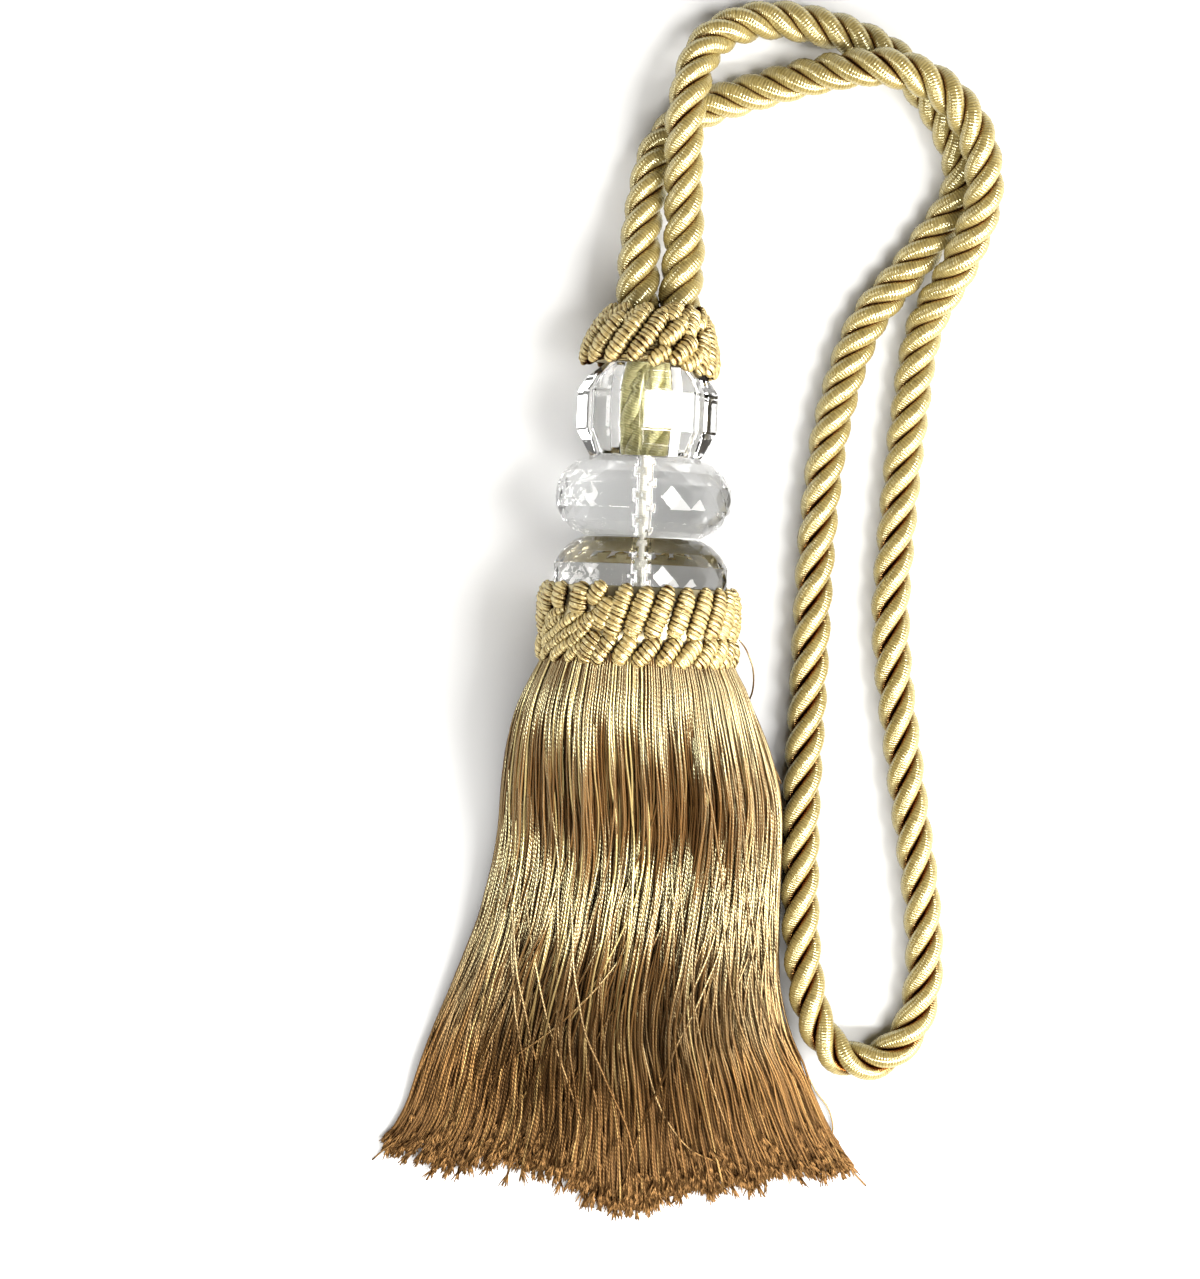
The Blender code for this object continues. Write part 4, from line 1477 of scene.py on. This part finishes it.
@dataclass
class CoreCord:
    """The rope's bound ends inside the barrel bead, and the thin tie through the lower beads."""

    axis: HeadAxis
    strands: int = 6
    stations: int = 26
    sides: int = 16
    offset: float = 3.35 * MM
    strand_radius: float = 2.2 * MM
    foot: float = 47.4 * MM
    top: float = 67.6 * MM
    turn: float = math.radians(150.0)
    tie_foot: float = 10.7 * MM
    tie_radius: float = 1.05 * MM
    tie_stations: int = 24
    tie_sides: int = 12
    end_width: float = 0.55  # of a strand's end, as a share of its own
    end_slope: float = 6.0
    tones: Span = (0.2, 0.8)
    finish: SatinWrap = SatinWrap(
        "core_satin", (0.17, 0.14, 0.035), (0.60, 0.54, 0.24), roughness=0.30, index=2.4)
    tie_finish: SatinWrap = SatinWrap(
        "tie_satin", (0.66, 0.63, 0.55), (0.82, 0.80, 0.74), metallic=0.0, index=1.5)

    def bound_ends(self) -> Tubes:
        """Wind the ends' strands round the axis.

        Returns:
            The strands, in head coordinates.
        """
        share = np.linspace(0.0, 1.0, self.stations)[None, :]
        first = TURN * (np.arange(self.strands)[:, None] + 0.25) / self.strands
        turn = first + self.turn * share
        a = self.foot + (self.top - self.foot) * share
        paths = HeadAxis.spot(turn, a, np.array(self.offset))
        outward = HeadAxis.spot(turn, np.zeros_like(a), np.array(1.0))
        ends = self.end_width + self.end_slope * np.minimum(share, 1.0 - share)
        half = np.minimum(1.0, ends) * self.strand_radius
        tone = np.linspace(*self.tones, self.strands)
        return round_tubes(paths, outward, half, self.sides, tone, reach=0.0)

    def tie(self) -> Tubes:
        """The thin tie through the beads' bores."""
        a = np.linspace(self.tie_foot, self.foot + 1.0 * MM, self.tie_stations)
        return turn_body(a, self.tie_radius, self.tie_sides, 0.5, reach=0.0)

    def build(self) -> None:
        """Make the core and dress it."""
        for name, batch, finish in (("core_rope_ends", self.bound_ends(), self.finish),
                                    ("core_tie", self.tie(), self.tie_finish)):
            batch.points = self.axis.place(batch.points)
            dress(weave(name, [batch]), finish.build(), Slot.CORE, "core_cord")


# ---- Skirt ----


@dataclass
class SkirtForm:
    """The skirt's outer form, as cross-sections between the collar and the hem.

    The columns of the table are the distance from the collar's bottom edge, the left and right
    edges, the top, the height of the widest line, the bottom and the power that squares the
    underside off. The upper half of a cross-section is an ellipse and the lower half a
    superellipse. All in millimetres.
    """

    axis: HeadAxis
    table: tuple[tuple[float, ...], ...] = (
        (-140.0, -60.0, 63.0, 2.8, 1.3, 0.6, 9.0),
        (-126.0, -57.5, 59.0, 4.2, 1.6, 0.6, 8.5),
        (-112.0, -50.0, 50.5, 6.8, 2.0, 0.6, 8.0),
        (-100.0, -46.3, 45.0, 10.5, 2.4, 0.6, 7.5),
        (-90.0, -42.8, 40.0, 14.2, 2.9, 0.6, 7.0),
        (-80.0, -39.0, 37.2, 18.2, 3.5, 0.6, 6.3),
        (-70.0, -35.5, 36.0, 22.2, 4.4, 0.6, 5.5),
        (-64.0, -33.5, 35.6, 24.2, 5.0, 0.6, 5.0),
        (-58.0, -32.2, 35.4, 25.5, 5.8, 0.6, 4.7),
        (-52.0, -30.9, 35.3, 26.7, 7.0, 0.6, 4.3),
        (-46.0, -30.0, 35.2, 28.0, 8.2, 0.6, 4.0),
        (-41.0, -29.5, 35.0, 29.7, 9.7, 0.6, 3.7),
        (-36.0, -29.3, 34.6, 32.4, 11.3, 0.6, 3.5),
        (-30.0, -29.0, 33.6, 36.1, 13.4, 0.6, 3.2),
        (-24.0, -28.5, 31.9, 39.8, 16.0, 0.6, 2.7),
        (-18.0, -27.7, 29.9, 43.2, 19.1, 0.8, 2.4),
        (-14.0, -27.0, 28.4, 44.9, 21.0, 1.1, 2.2),
        (-10.0, -26.0, 26.8, 45.9, 22.8, 1.6, 2.1),
        (-5.0, -24.0, 24.7, 46.4, 24.4, 2.6, 2.0),
        (0.0, -21.6, 21.8, 46.3, 25.1, 3.9, 2.0),
        (6.0, -19.4, 19.4, 43.6, 24.3, 5.0, 2.0),
    )
    levels: int = 110
    marks: int = 360
    slant_span: Span = (-22.0, 0.0)  # where the cross-sections start to lean
    grids: tuple[Array, ...] = field(default=(), init=False)

    def __post_init__(self) -> None:
        """Work out the rim and the inner line on a grid of levels and shares of the way round."""
        table = np.array(self.table)
        self.low, self.high = table[0, 0], table[-1, 0]
        level = np.linspace(self.low, self.high, self.levels)
        columns = [read_curve(level, table[:, 0], table[:, i])[:, None] for i in range(1, 7)]
        left, right, top, middle, bottom, power = columns
        angle = np.linspace(0.0, TURN, 2 * self.marks + 1)[None, :] - math.pi / 2
        across, up = np.cos(angle), np.sin(angle)
        centre, half = (left + right) / 2, (right - left) / 2
        square = 2.0 / power
        under = up < 0
        x = centre + half * np.where(under, np.sign(across) * np.abs(across) ** square, across)
        z = np.where(under, middle - (middle - bottom) * np.abs(up) ** square,
                     middle + (top - middle) * up)
        steps = np.hypot(np.diff(x, axis=1), np.diff(z, axis=1))
        share = np.concatenate((np.zeros((self.levels, 1)), np.cumsum(steps, axis=1)), axis=1)
        share /= share[:, -1:]
        even = np.linspace(0.0, 1.0, self.marks + 1)
        rim_x, rim_z = (np.stack([np.interp(even, *row) for row in zip(share, values)])
                        for values in (x, z))
        thick = (top - bottom) / 2
        spine_x = centre + (rim_x - centre) * np.maximum(half - thick, 0.0) / half
        off = np.clip((spine_x - centre) / half, -1, 1)
        crest = middle + (top - middle) * np.sqrt(1.0 - off**2)
        self.grids = (rim_x, rim_z, spine_x, (crest + bottom) / 2)

    def top_at(self, x: Array, y: Array) -> Array:
        """Height of the skirt's top over the table, in millimetres.

        Args:
            x: Distance to the right of the head's axis, in millimetres.
            y: Distance from the collar's bottom edge, in millimetres.

        Returns:
            The heights.
        """
        table = np.array(self.table)
        left, right, top, middle = (read_curve(y, table[:, 0], table[:, i]) for i in (1, 2, 3, 4))
        off = (x - (left + right) / 2.0) / ((right - left) / 2.0)
        return middle + (top - middle) * np.sqrt(np.clip(1.0 - off**2, 0.0, 1.0))

    def point(self, y: Array, share: Array, depth: Array) -> Array:
        """Find points of the skirt.

        A point lies on the line from the inner line out to the rim, at depth times its length.
        Near the collar its distance is measured square to the head's axis, which leans.

        Args:
            y: Distance from the collar's bottom edge, in millimetres, negative down the skirt.
            share: Share of the way round the rim, from the middle of the underside.
            depth: Share of the way out, 1 on the rim.

        Returns:
            Places in the row frame, in metres.
        """
        row = np.clip((y - self.low) / (self.high - self.low), 0.0, 1.0) * (self.levels - 1)
        column = (share % 1.0) * self.marks
        r0 = np.minimum(row.astype(int), self.levels - 2)
        c0 = np.minimum(column.astype(int), self.marks - 1)
        fr, fc = row - r0, column - c0
        rim_x, rim_z, spine_x, spine_z = (
            (grid[r0, c0] * (1 - fc) + grid[r0, c0 + 1] * fc) * (1 - fr)
            + (grid[r0 + 1, c0] * (1 - fc) + grid[r0 + 1, c0 + 1] * fc) * fr for grid in self.grids)
        x = (spine_x + depth * (rim_x - spine_x)) * MM
        z = (spine_z + depth * (rim_z - spine_z)) * MM
        slant = math.tan(self.axis.lean) * ease(*self.slant_span, y)
        along = self.axis.foot_y + y * MM + slant * (z - self.axis.height(0.0))
        return np.stack((x, along, z), axis=-1)


@dataclass(frozen=True)
class ThreadRun:
    """One piece's threads.

    Attributes:
        name: The piece's name.
        turn_count: Threads in one layer, were it to go all the way round.
        first: The outermost layer.
        last: The layer after the innermost one.
        front: Whether they lie on the upper side, and not underneath.
        radius: Half a thread's thickness.
        tuft_seed: Start of the chance numbers of its cut ends.
        tone_seed: Start of the chance numbers of its threads' shades.
    """

    name: str
    turn_count: int
    first: int
    last: int
    front: bool
    radius: float
    tuft_seed: int
    tone_seed: int


@dataclass(frozen=True)
class Tuft:
    """The frayed cut end of a thread.

    A filament starts at the thread's own end, and leaves its direction by a random sideways part
    that grows with the length. The tuft as a whole bends a little aside. The sets of three are
    for x, y and z.
    """

    filaments: int = 10
    stations: int = 3
    sides: int = 3
    overlap: float = 1.3 * MM
    bend: float = 0.14
    bend_shares: Triple = (1.0, 0.3, 0.5)
    widths: Span = (0.5, 1.2)
    splay: Triple = (0.26, 0.10, 0.20)
    splay_power: float = 0.8
    lengths: Span = (1.9, 3.4)  # of a tuft, in millimetres
    length_shares: Span = (0.7, 1.1)  # of its filaments
    lowest: float = 0.25 * MM
    radii: Span = (0.24, 0.14)  # at a filament's foot and tip, in millimetres
    tones: Span = (0.1, 1.0)

    def tubes(self, paths: Array, seed: int) -> Tubes:
        """Make the filaments of some threads.

        Args:
            paths: The threads' paths.
            seed: Start of the chance numbers.

        Returns:
            The filaments.
        """
        chance = np.random.default_rng(seed)
        count, number = len(paths), self.filaments
        ahead = unit(paths[:, -1] - paths[:, -3])
        bend = chance.normal(0.0, self.bend, (count, 3)) * np.array(self.bend_shares)
        heading = np.repeat(unit(ahead + bend), number, axis=0)[:, None, :]
        start = np.repeat(paths[:, -1] - self.overlap * ahead, number, axis=0)[:, None, :]
        t = np.linspace(0.0, 1.0, self.stations)[None, :, None]
        width = np.repeat(chance.uniform(*self.widths, count), number)[:, None, None]
        splay = width * chance.normal(0.0, 1.0, (count * number, 1, 3)) * np.array(self.splay)
        long = np.repeat(chance.uniform(*self.lengths, count), number)
        long = long * chance.uniform(*self.length_shares, count * number)
        side = splay * t**self.splay_power
        hair = start + long[:, None, None] * MM * (t * heading + side)
        hair[..., 2] = np.maximum(hair[..., 2], self.lowest)
        foot, tip = self.radii
        half = (foot - (foot - tip) * t[..., 0]) * MM
        tone = chance.uniform(*self.tones, len(hair))
        return round_tubes(hair, UP, half, self.sides, tone, reach=1.0).above_table()


@dataclass
class Skirt:
    """The skirt of twisted threads, with its cut ends, its stray threads and its bound head.

    A thread runs from inside the collar to the hem at its own share of the way round. Its lock
    pulls it aside, it wanders as a sum of two sines, and its depth under the rim grows with its
    layer. Lengths are in millimetres where no MM stands by them. A span is a stretch of the
    thread, from 0 in the collar to 1 at the hem, in which something sets in.
    """

    axis: HeadAxis
    form: SkirtForm
    runs: tuple[ThreadRun, ...] = (
        ThreadRun("skirt_front_threads", 236, 0, 5, True, 0.28 * MM, 81, 61),
        ThreadRun("skirt_inner_threads", 236, 5, 8, True, 0.34 * MM, 82, 62),
        ThreadRun("skirt_under_threads", 140, 0, 6, False, 0.46 * MM, 83, 63),
    )
    layers: int = 8
    locks: int = 46
    stations: int = 40
    side_share: float = 0.24  # half of the underside's share of the way round
    layer_turn: float = 0.37  # from one layer to the next, in threads
    spread: float = 0.22  # of the threads' places, in threads
    lock_shift: float = 0.3  # of the locks' middles, in locks
    lock_spreads: tuple[float, ...] = (0.0085, 0.030, 3.6, 1.5)  # drift, lift, slide and hem
    lock_drift_span: Span = (0.1, 0.9)
    lock_lift_span: Span = (0.1, 0.5)
    gathers: tuple[Triple, ...] = ((0.62, 0.06, 0.42), (-0.45, 0.58, 1.0))  # amount and span
    gather_strength: Span = (0.2, 1.0)
    drift: float = 0.011
    drift_span: Span = (0.10, 1.0)
    crossings: tuple[Span, ...] = ((0.38, 0.036), (0.07, 0.075))  # part of the threads, spread
    crossing_start: Span = (0.10, 0.35)  # the earliest, and how much later at most
    crossing_lift: float = 1.2
    crossing_lift_span: Span = (0.2, 0.7)
    waves: tuple[Triple, ...] = ((0.0020, 1.2, 2.8), (0.0007, 5.0, 9.0))  # height, least, most
    wave_span: Span = (0.04, 0.25)
    layer_gap: float = 0.036  # how much deeper each layer starts
    tip_power: float = 0.8  # how the layers share the thickness at the hem
    tip_share: float = 0.9
    depth_spread: float = 0.010
    rough_spread: float = 0.014  # of the depth below the collar
    rough_span: Span = (0.04, 0.3)
    highest: float = 1.03
    uneven: float = 1.9  # spread of the threads' lengths
    short_threads: Span = (0.25, 9.0)  # part of the threads, and by how much at most
    longest: float = -3.4
    hem_margin: float = 1.8
    layer_hem: float = 0.3  # how much shorter each layer is
    root_y: float = 5.0
    hem_y: float = -130.0  # where the hem's place across is read
    slide: float = 2.2  # spread of where a thread takes its height from
    slide_span: Span = (0.04, 0.22)
    bobs: tuple[Triple, ...] = ((0.40 * MM, 2.2, 2.6), (0.10 * MM, 7.0, 5.0))  # least, and more
    bob_span: Span = (0.05, 0.2)
    plain_tones: Span = (0.28, 0.78)
    # random bright threads; their cream colour in the thread's finish is painted highlight
    bright_tones: Span = (0.84, 1.0)
    bright_part: float = 0.16
    # painted shade: each layer deeper multiplies the tone by this, for plain and for bright threads
    layer_painted_shades: Span = (0.80, 0.94)  # by layer, of plain and of bright threads
    thread_sides: int = 4
    root_width: float = 0.82
    root_span: Span = (0.02, 0.25)
    tone_marks: float = 500.0  # how far the tone shifts a thread's twist
    tuft: Tuft = Tuft()
    stray_radius: float = 0.23 * MM
    stray_sides: int = 6
    stray_step: float = 1.5 * MM
    stray_tones: tuple[float, ...] = (0.54, 0.60, 0.66, 0.72)
    stray_reach: Span = (0.46, 0.82)
    head_sides: int = 96
    head_tone: float = 0.9
    hem: tuple[Span, ...] = (
        (-60.0, -120.5), (-51.0, -122.0), (-40.0, -123.0), (-30.0, -123.0), (-17.0, -123.5),
        (-10.0, -126.0), (-5.0, -131.0), (1.0, -134.8), (6.0, -133.0), (13.5, -129.8),
        (20.0, -127.5), (32.0, -125.2), (43.0, -123.0), (53.0, -122.5), (60.0, -121.5))
    strays_beside: tuple[tuple[Triple, ...], ...] = (
        ((23.4, 33.0, 16.0), (25.3, 30.0, 11.0), (27.0, 25.7, 9.0), (27.3, 20.1, 6.0),
         (26.2, 16.8, 3.0), (24.0, 15.6, 2.0)),
        ((24.0, 22.0, 14.0), (26.2, 17.2, 10.0), (30.7, 7.5, 7.0), (35.0, -1.7, 6.0)),
        ((42.0, -66.0, 1.2), (46.6, -75.4, 0.9), (49.9, -79.7, 0.8), (51.3, -84.5, 0.7),
         (50.5, -88.9, 0.6)),
        ((39.0, -66.0, 3.0), (43.1, -76.5, 2.0), (50.7, -87.3, 1.2), (55.8, -94.0, 0.8),
         (59.8, -98.2, 0.6)),
        ((-36.0, -66.0, 3.5), (-41.8, -78.9, 2.0), (-49.8, -89.2, 1.0), (-57.3, -96.9, 0.6)),
    )
    strays_over: tuple[tuple[Triple, ...], ...] = (
        ((-24.5, -18.0, -2.0), (-21.9, -36.0, 0.1), (-17.0, -58.0, 0.6), (-11.6, -74.0, 0.9),
         (-7.9, -84.0, 0.6)),
        ((1.5, -42.0, -2.0), (5.0, -62.0, 0.4), (10.5, -80.0, 0.8), (17.6, -89.6, 0.8),
         (23.5, -92.5, 0.3)),
        ((2.5, -36.0, -2.0), (-6.0, -49.0, 0.3), (-16.0, -60.5, 0.6), (-25.0, -68.5, 0.2)),
        ((17.5, -20.0, -2.0), (15.8, -44.0, 0.5), (20.5, -68.0, 0.7), (27.5, -88.0, 0.3)),
    )
    bound_head: tuple[Span, ...] = (
        (2.0, 17.0), (3.0, 19.3), (6.0, 19.7), (9.4, 19.5), (10.1, 18.4), (10.3, 12.0), (10.3, 2.0))
    finish: PlyThread = PlyThread("gold_thread")
    binding: BoundThread = BoundThread("head_binding", (0.92, 0.90, 0.78), (0.80, 0.77, 0.62))
    seed: int = 21

    def hem_at(self, x: Array) -> Array:
        """Where the skirt's hem is at a distance from its middle, both in millimetres."""
        return read_curve(x, *np.array(self.hem).T)

    def starts(self, run: ThreadRun, chance: np.random.Generator) -> tuple[Array, Array]:
        """Share the threads of one piece out round the collar.

        Args:
            run: The piece's threads.
            chance: Source of the chance numbers.

        Returns:
            The layer of each thread, and its share of the way round.
        """
        layer = np.repeat(np.arange(run.first, run.last), run.turn_count).astype(float)
        number = np.tile(np.arange(run.turn_count), run.last - run.first)
        start = (number + self.layer_turn * layer) / run.turn_count
        start = (start + chance.normal(0.0, self.spread, len(layer)) / run.turn_count) % 1.0
        on_top = (start > self.side_share) & (start < 1.0 - self.side_share)
        return layer[on_top == run.front], start[on_top == run.front]

    def lock_traits(self, start: Array) -> list[Array]:
        """Read the traits of the lock that each thread is in.

        Args:
            start: Each thread's share of the way round.

        Returns:
            The middle of its lock, and the lock's drift, lift, slide and hem.
        """
        chance = np.random.default_rng(self.seed)
        shift = chance.uniform(-self.lock_shift, self.lock_shift, self.locks)
        traits = [chance.normal(0.0, spread, self.locks) for spread in self.lock_spreads]
        lock = np.floor(start * self.locks).astype(int) % self.locks
        return [(lock + 0.5 + shift[lock]) / self.locks, *(trait[lock] for trait in traits)]

    def shares(self, chance: np.random.Generator, start: Array, middle: Array, drift: Array,
               t: Array) -> tuple[Array, Array]:
        """Lead each thread aside on its way down.

        A share is the start, plus the pull towards the lock's middle, the lock's drift, the
        thread's own drift, its crossing and its waves, each setting in over its span.

        Args:
            chance: Source of the chance numbers.
            start: Each thread's share of the way round at the collar.
            middle: The same for the middle of its lock.
            drift: How far its lock drifts aside.
            t: Share of the way from the collar to the hem.

        Returns:
            Shares of the way round as (threads, stations), and how far each thread crosses
            others.
        """
        size = (len(start), 1)
        pull = sum(amount * ease(low, high, t) for amount, low, high in self.gathers)
        pull = pull * chance.uniform(*self.gather_strength, size)
        share = start[:, None] + pull * (middle - start)[:, None]
        share = share + drift[:, None] * ease(*self.lock_drift_span, t)
        share = share + chance.normal(0.0, self.drift, size) * ease(*self.drift_span, t)
        crossing = sum((chance.random(size) < part) * chance.normal(0.0, spread, size)
                       for part, spread in self.crossings)
        earliest, later = self.crossing_start
        share = share + crossing * ease(earliest + later * chance.random(size), 1.0, t)
        waves = sum(
            height * np.sin(TURN * (t * chance.uniform(fewest, most, size) + chance.random(size)))
            for height, fewest, most in self.waves)
        return share + waves * ease(*self.wave_span, t), crossing

    def depth_of(self, chance: np.random.Generator, layer: Array, lift: Array, crossing: Array,
                 t: Array) -> Array:
        """How far out each thread lies on its way down, 1 on the rim.

        The depth eases from the layer's depth at the root to that at the hem. To it come the
        thread's own spreads, its lock's lift and the lift of its crossing.

        Args:
            chance: Source of the chance numbers.
            layer: Each thread's layer.
            lift: How far its lock lies out.
            crossing: How far it crosses others.
            t: Share of the way from the collar to the hem.

        Returns:
            Shares of the way out, as (threads, stations).
        """
        size = (len(layer), 1)
        root = 1.0 - self.layer_gap * layer
        tip = 1.0 - (layer / self.layers) ** self.tip_power
        depth = root[:, None] + (tip - root)[:, None] * ease(0.0, 1.0, t) * self.tip_share
        depth = depth + chance.normal(0.0, self.depth_spread, size)
        depth = depth + lift[:, None] * ease(*self.lock_lift_span, t)
        depth = depth + chance.normal(0.0, self.rough_spread, size) * ease(*self.rough_span, t)
        crossing_span = ease(*self.crossing_lift_span, t)
        depth = depth + np.abs(crossing) * self.crossing_lift * crossing_span
        return np.clip(depth, 0.0, self.highest)

    def end_of(self, chance: np.random.Generator, place: Array, layer: Array, hem: Array) -> Array:
        """Where along the skirt each thread is cut, in millimetres.

        That is the skirt's hem, plus the margin, the thread's unevenness, its lock's hem and its
        layer's part.

        Args:
            chance: Source of the chance numbers.
            place: Where the thread reaches the hem, to the right of the skirt's middle.
            layer: Each thread's layer.
            hem: How far its lock's hem is from the skirt's.

        Returns:
            Distances from the collar's bottom edge, negative down the skirt.
        """
        part, most = self.short_threads
        total = len(place)
        uneven = chance.normal(0.0, self.uneven, total)
        uneven = uneven + most * (chance.random(total) < part) * chance.random(total)
        uneven = np.maximum(uneven, self.longest)
        return self.hem_at(place) + self.hem_margin + uneven + hem + self.layer_hem * layer

    def paths(self, run: ThreadRun) -> tuple[Array, Array]:
        """Run one piece's threads from the collar to the hem.

        Args:
            run: The piece's threads.

        Returns:
            The paths as (threads, stations, 3), and the layer of each.
        """
        chance = np.random.default_rng(self.seed + run.first + 10 * run.front)
        layer, start = self.starts(run, chance)
        middle, drift, lift, slide, hem = self.lock_traits(start)
        total = len(start)
        t = np.linspace(0.0, 1.0, self.stations)[None, :]
        share, crossing = self.shares(chance, start, middle, drift, t)
        depth = self.depth_of(chance, layer, lift, crossing, t)
        at_hem = self.form.point(np.full(total, self.hem_y), share[:, -1], depth[:, -1])
        end = self.end_of(chance, at_hem[:, 0] / MM, layer, hem)
        y = self.root_y + t * (end - self.root_y)[:, None]
        paths = self.form.point(y, share, depth)
        slide = slide + chance.normal(0.0, self.slide, total)
        slide = slide[:, None] * ease(*self.slide_span, t)
        height = self.form.point(y + slide, share, depth)[..., 2] + self.bob(chance, total, t)
        paths[..., 2] = np.maximum(height, run.radius + TABLE_CLEARANCE)
        return paths, layer

    def bob(self, chance: np.random.Generator, total: int, t: Array) -> Array:
        """Add up each thread's rise and fall: sines with their own pitch and start.

        Args:
            chance: Source of the chance numbers.
            total: How many threads there are.
            t: Share of the way from the collar to the hem.

        Returns:
            Heights as (threads, stations).
        """
        own = chance.random((2, 2, total, 1))
        rise = sum(height * np.sin(TURN * (t * (fewest + more * pitch) + start))
                   for (height, fewest, more), (pitch, start) in zip(self.bobs, own))
        return rise * ease(*self.bob_span, t)

    def thread_tubes(self, paths: Array, tone: Array, radius: float, sides: int) -> Tubes:
        """Give threads their thickness.

        Args:
            paths: The threads' paths.
            tone: The threads' shades.
            radius: Half the thickness.
            sides: Points round a thread.

        Returns:
            The threads, each with marks that start at its own place in the twist.
        """
        full = ease(*self.root_span, np.linspace(0.0, 1.0, paths.shape[1]))
        half = radius * (self.root_width + (1.0 - self.root_width) * full)
        threads = round_tubes(paths, UP, half, sides, tone)
        threads.along = threads.along + self.tone_marks * tone[:, None]
        return threads

    def tones(self, layer: Array, seed: int) -> Array:
        """Draw the threads' shades: random, with painted shade that darkens each deeper layer, and
        some bright threads between.

        Args:
            layer: Each thread's layer.
            seed: Start of the chance numbers.

        Returns:
            Each thread's shade.
        """
        chance = np.random.default_rng(seed)
        plain, bright = self.layer_painted_shades
        # painted shade: each deeper layer is darker
        tone = chance.uniform(*self.plain_tones, len(layer)) * plain ** layer
        chosen = chance.random(len(layer)) < self.bright_part
        bright_tone = chance.uniform(*self.bright_tones, len(layer)) * bright ** layer
        return np.where(chosen, bright_tone, tone)

    def strays(self) -> list[Tubes]:
        """The threads that have come out of the skirt's shape.

        A route's third number is the height above the table for those beside the skirt, and the
        height above the skirt's top for those that lie on it.

        Returns:
            One batch for each thread.
        """
        routes = [np.array(route) for route in self.strays_beside]
        for route in self.strays_over:
            knots = np.array(route)
            knots[:, 2] += self.form.top_at(knots[:, 0], knots[:, 1] - self.axis.foot_y / MM)
            routes.append(knots)
        batches = []
        for index, route in enumerate(routes):
            line, _ = smooth_line(route, self.stray_step)
            tone = np.array([self.stray_tones[index % len(self.stray_tones)]])
            batch = self.thread_tubes(line[None], tone, self.stray_radius, self.stray_sides)
            low, high = self.stray_reach
            batch.reach = low + (high - low) * batch.reach
            batches.append(batch)
        return batches

    def head(self) -> Tubes:
        """Make the skirt's bound head inside the collar, as a body turned round the axis.

        Returns:
            The head, in its place.
        """
        a, radius = np.array(self.bound_head).T * MM
        a = a + 1e-6 * np.arange(len(a))        # keeps rings at one distance apart
        head = turn_body(a, radius, self.head_sides, self.head_tone, reach=0.0)
        head.points = self.axis.place(head.points)
        return head

    def build(self) -> None:
        """Make the skirt's pieces and dress them."""
        material = self.finish.build()
        ends = []
        for run in self.runs:
            paths, layer = self.paths(run)
            tone = self.tones(layer, run.tone_seed)
            threads = self.thread_tubes(paths, tone, run.radius, self.thread_sides)
            dress(weave(run.name, [threads]), material, Slot.THREAD, "skirt")
            ends.append(self.tuft.tubes(paths, run.tuft_seed))
        dress(weave("skirt_cut_ends", ends), material, Slot.THREAD)
        dress(weave("skirt_stray_threads", self.strays()), material, Slot.THREAD)
        dress(weave("skirt_bound_head", [self.head()]), self.binding.build(), Slot.THREAD)


# ---- The whole tassel ----


def main() -> None:
    """Build the studio, the rope and every other piece, in that order."""
    logging.basicConfig(level=logging.INFO, format="%(name)s: %(message)s")
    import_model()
    Studio().build()
    Rope().build()
    axis = HeadAxis()
    Skirt(axis, SkirtForm(axis)).build()
    LowerCollar(axis).build()
    Cap(axis).build()
    acrylic = ClearAcrylic().build()
    CutBead(axis, "bead_lower", 19.5 * MM).build(acrylic)
    CutBead(axis, "bead_middle", 37.6 * MM, turn=math.radians(4.0)).build(acrylic)
    BarrelBead(axis).build(acrylic)
    CoreCord(axis).build()


if __name__ == "__main__":
    main()
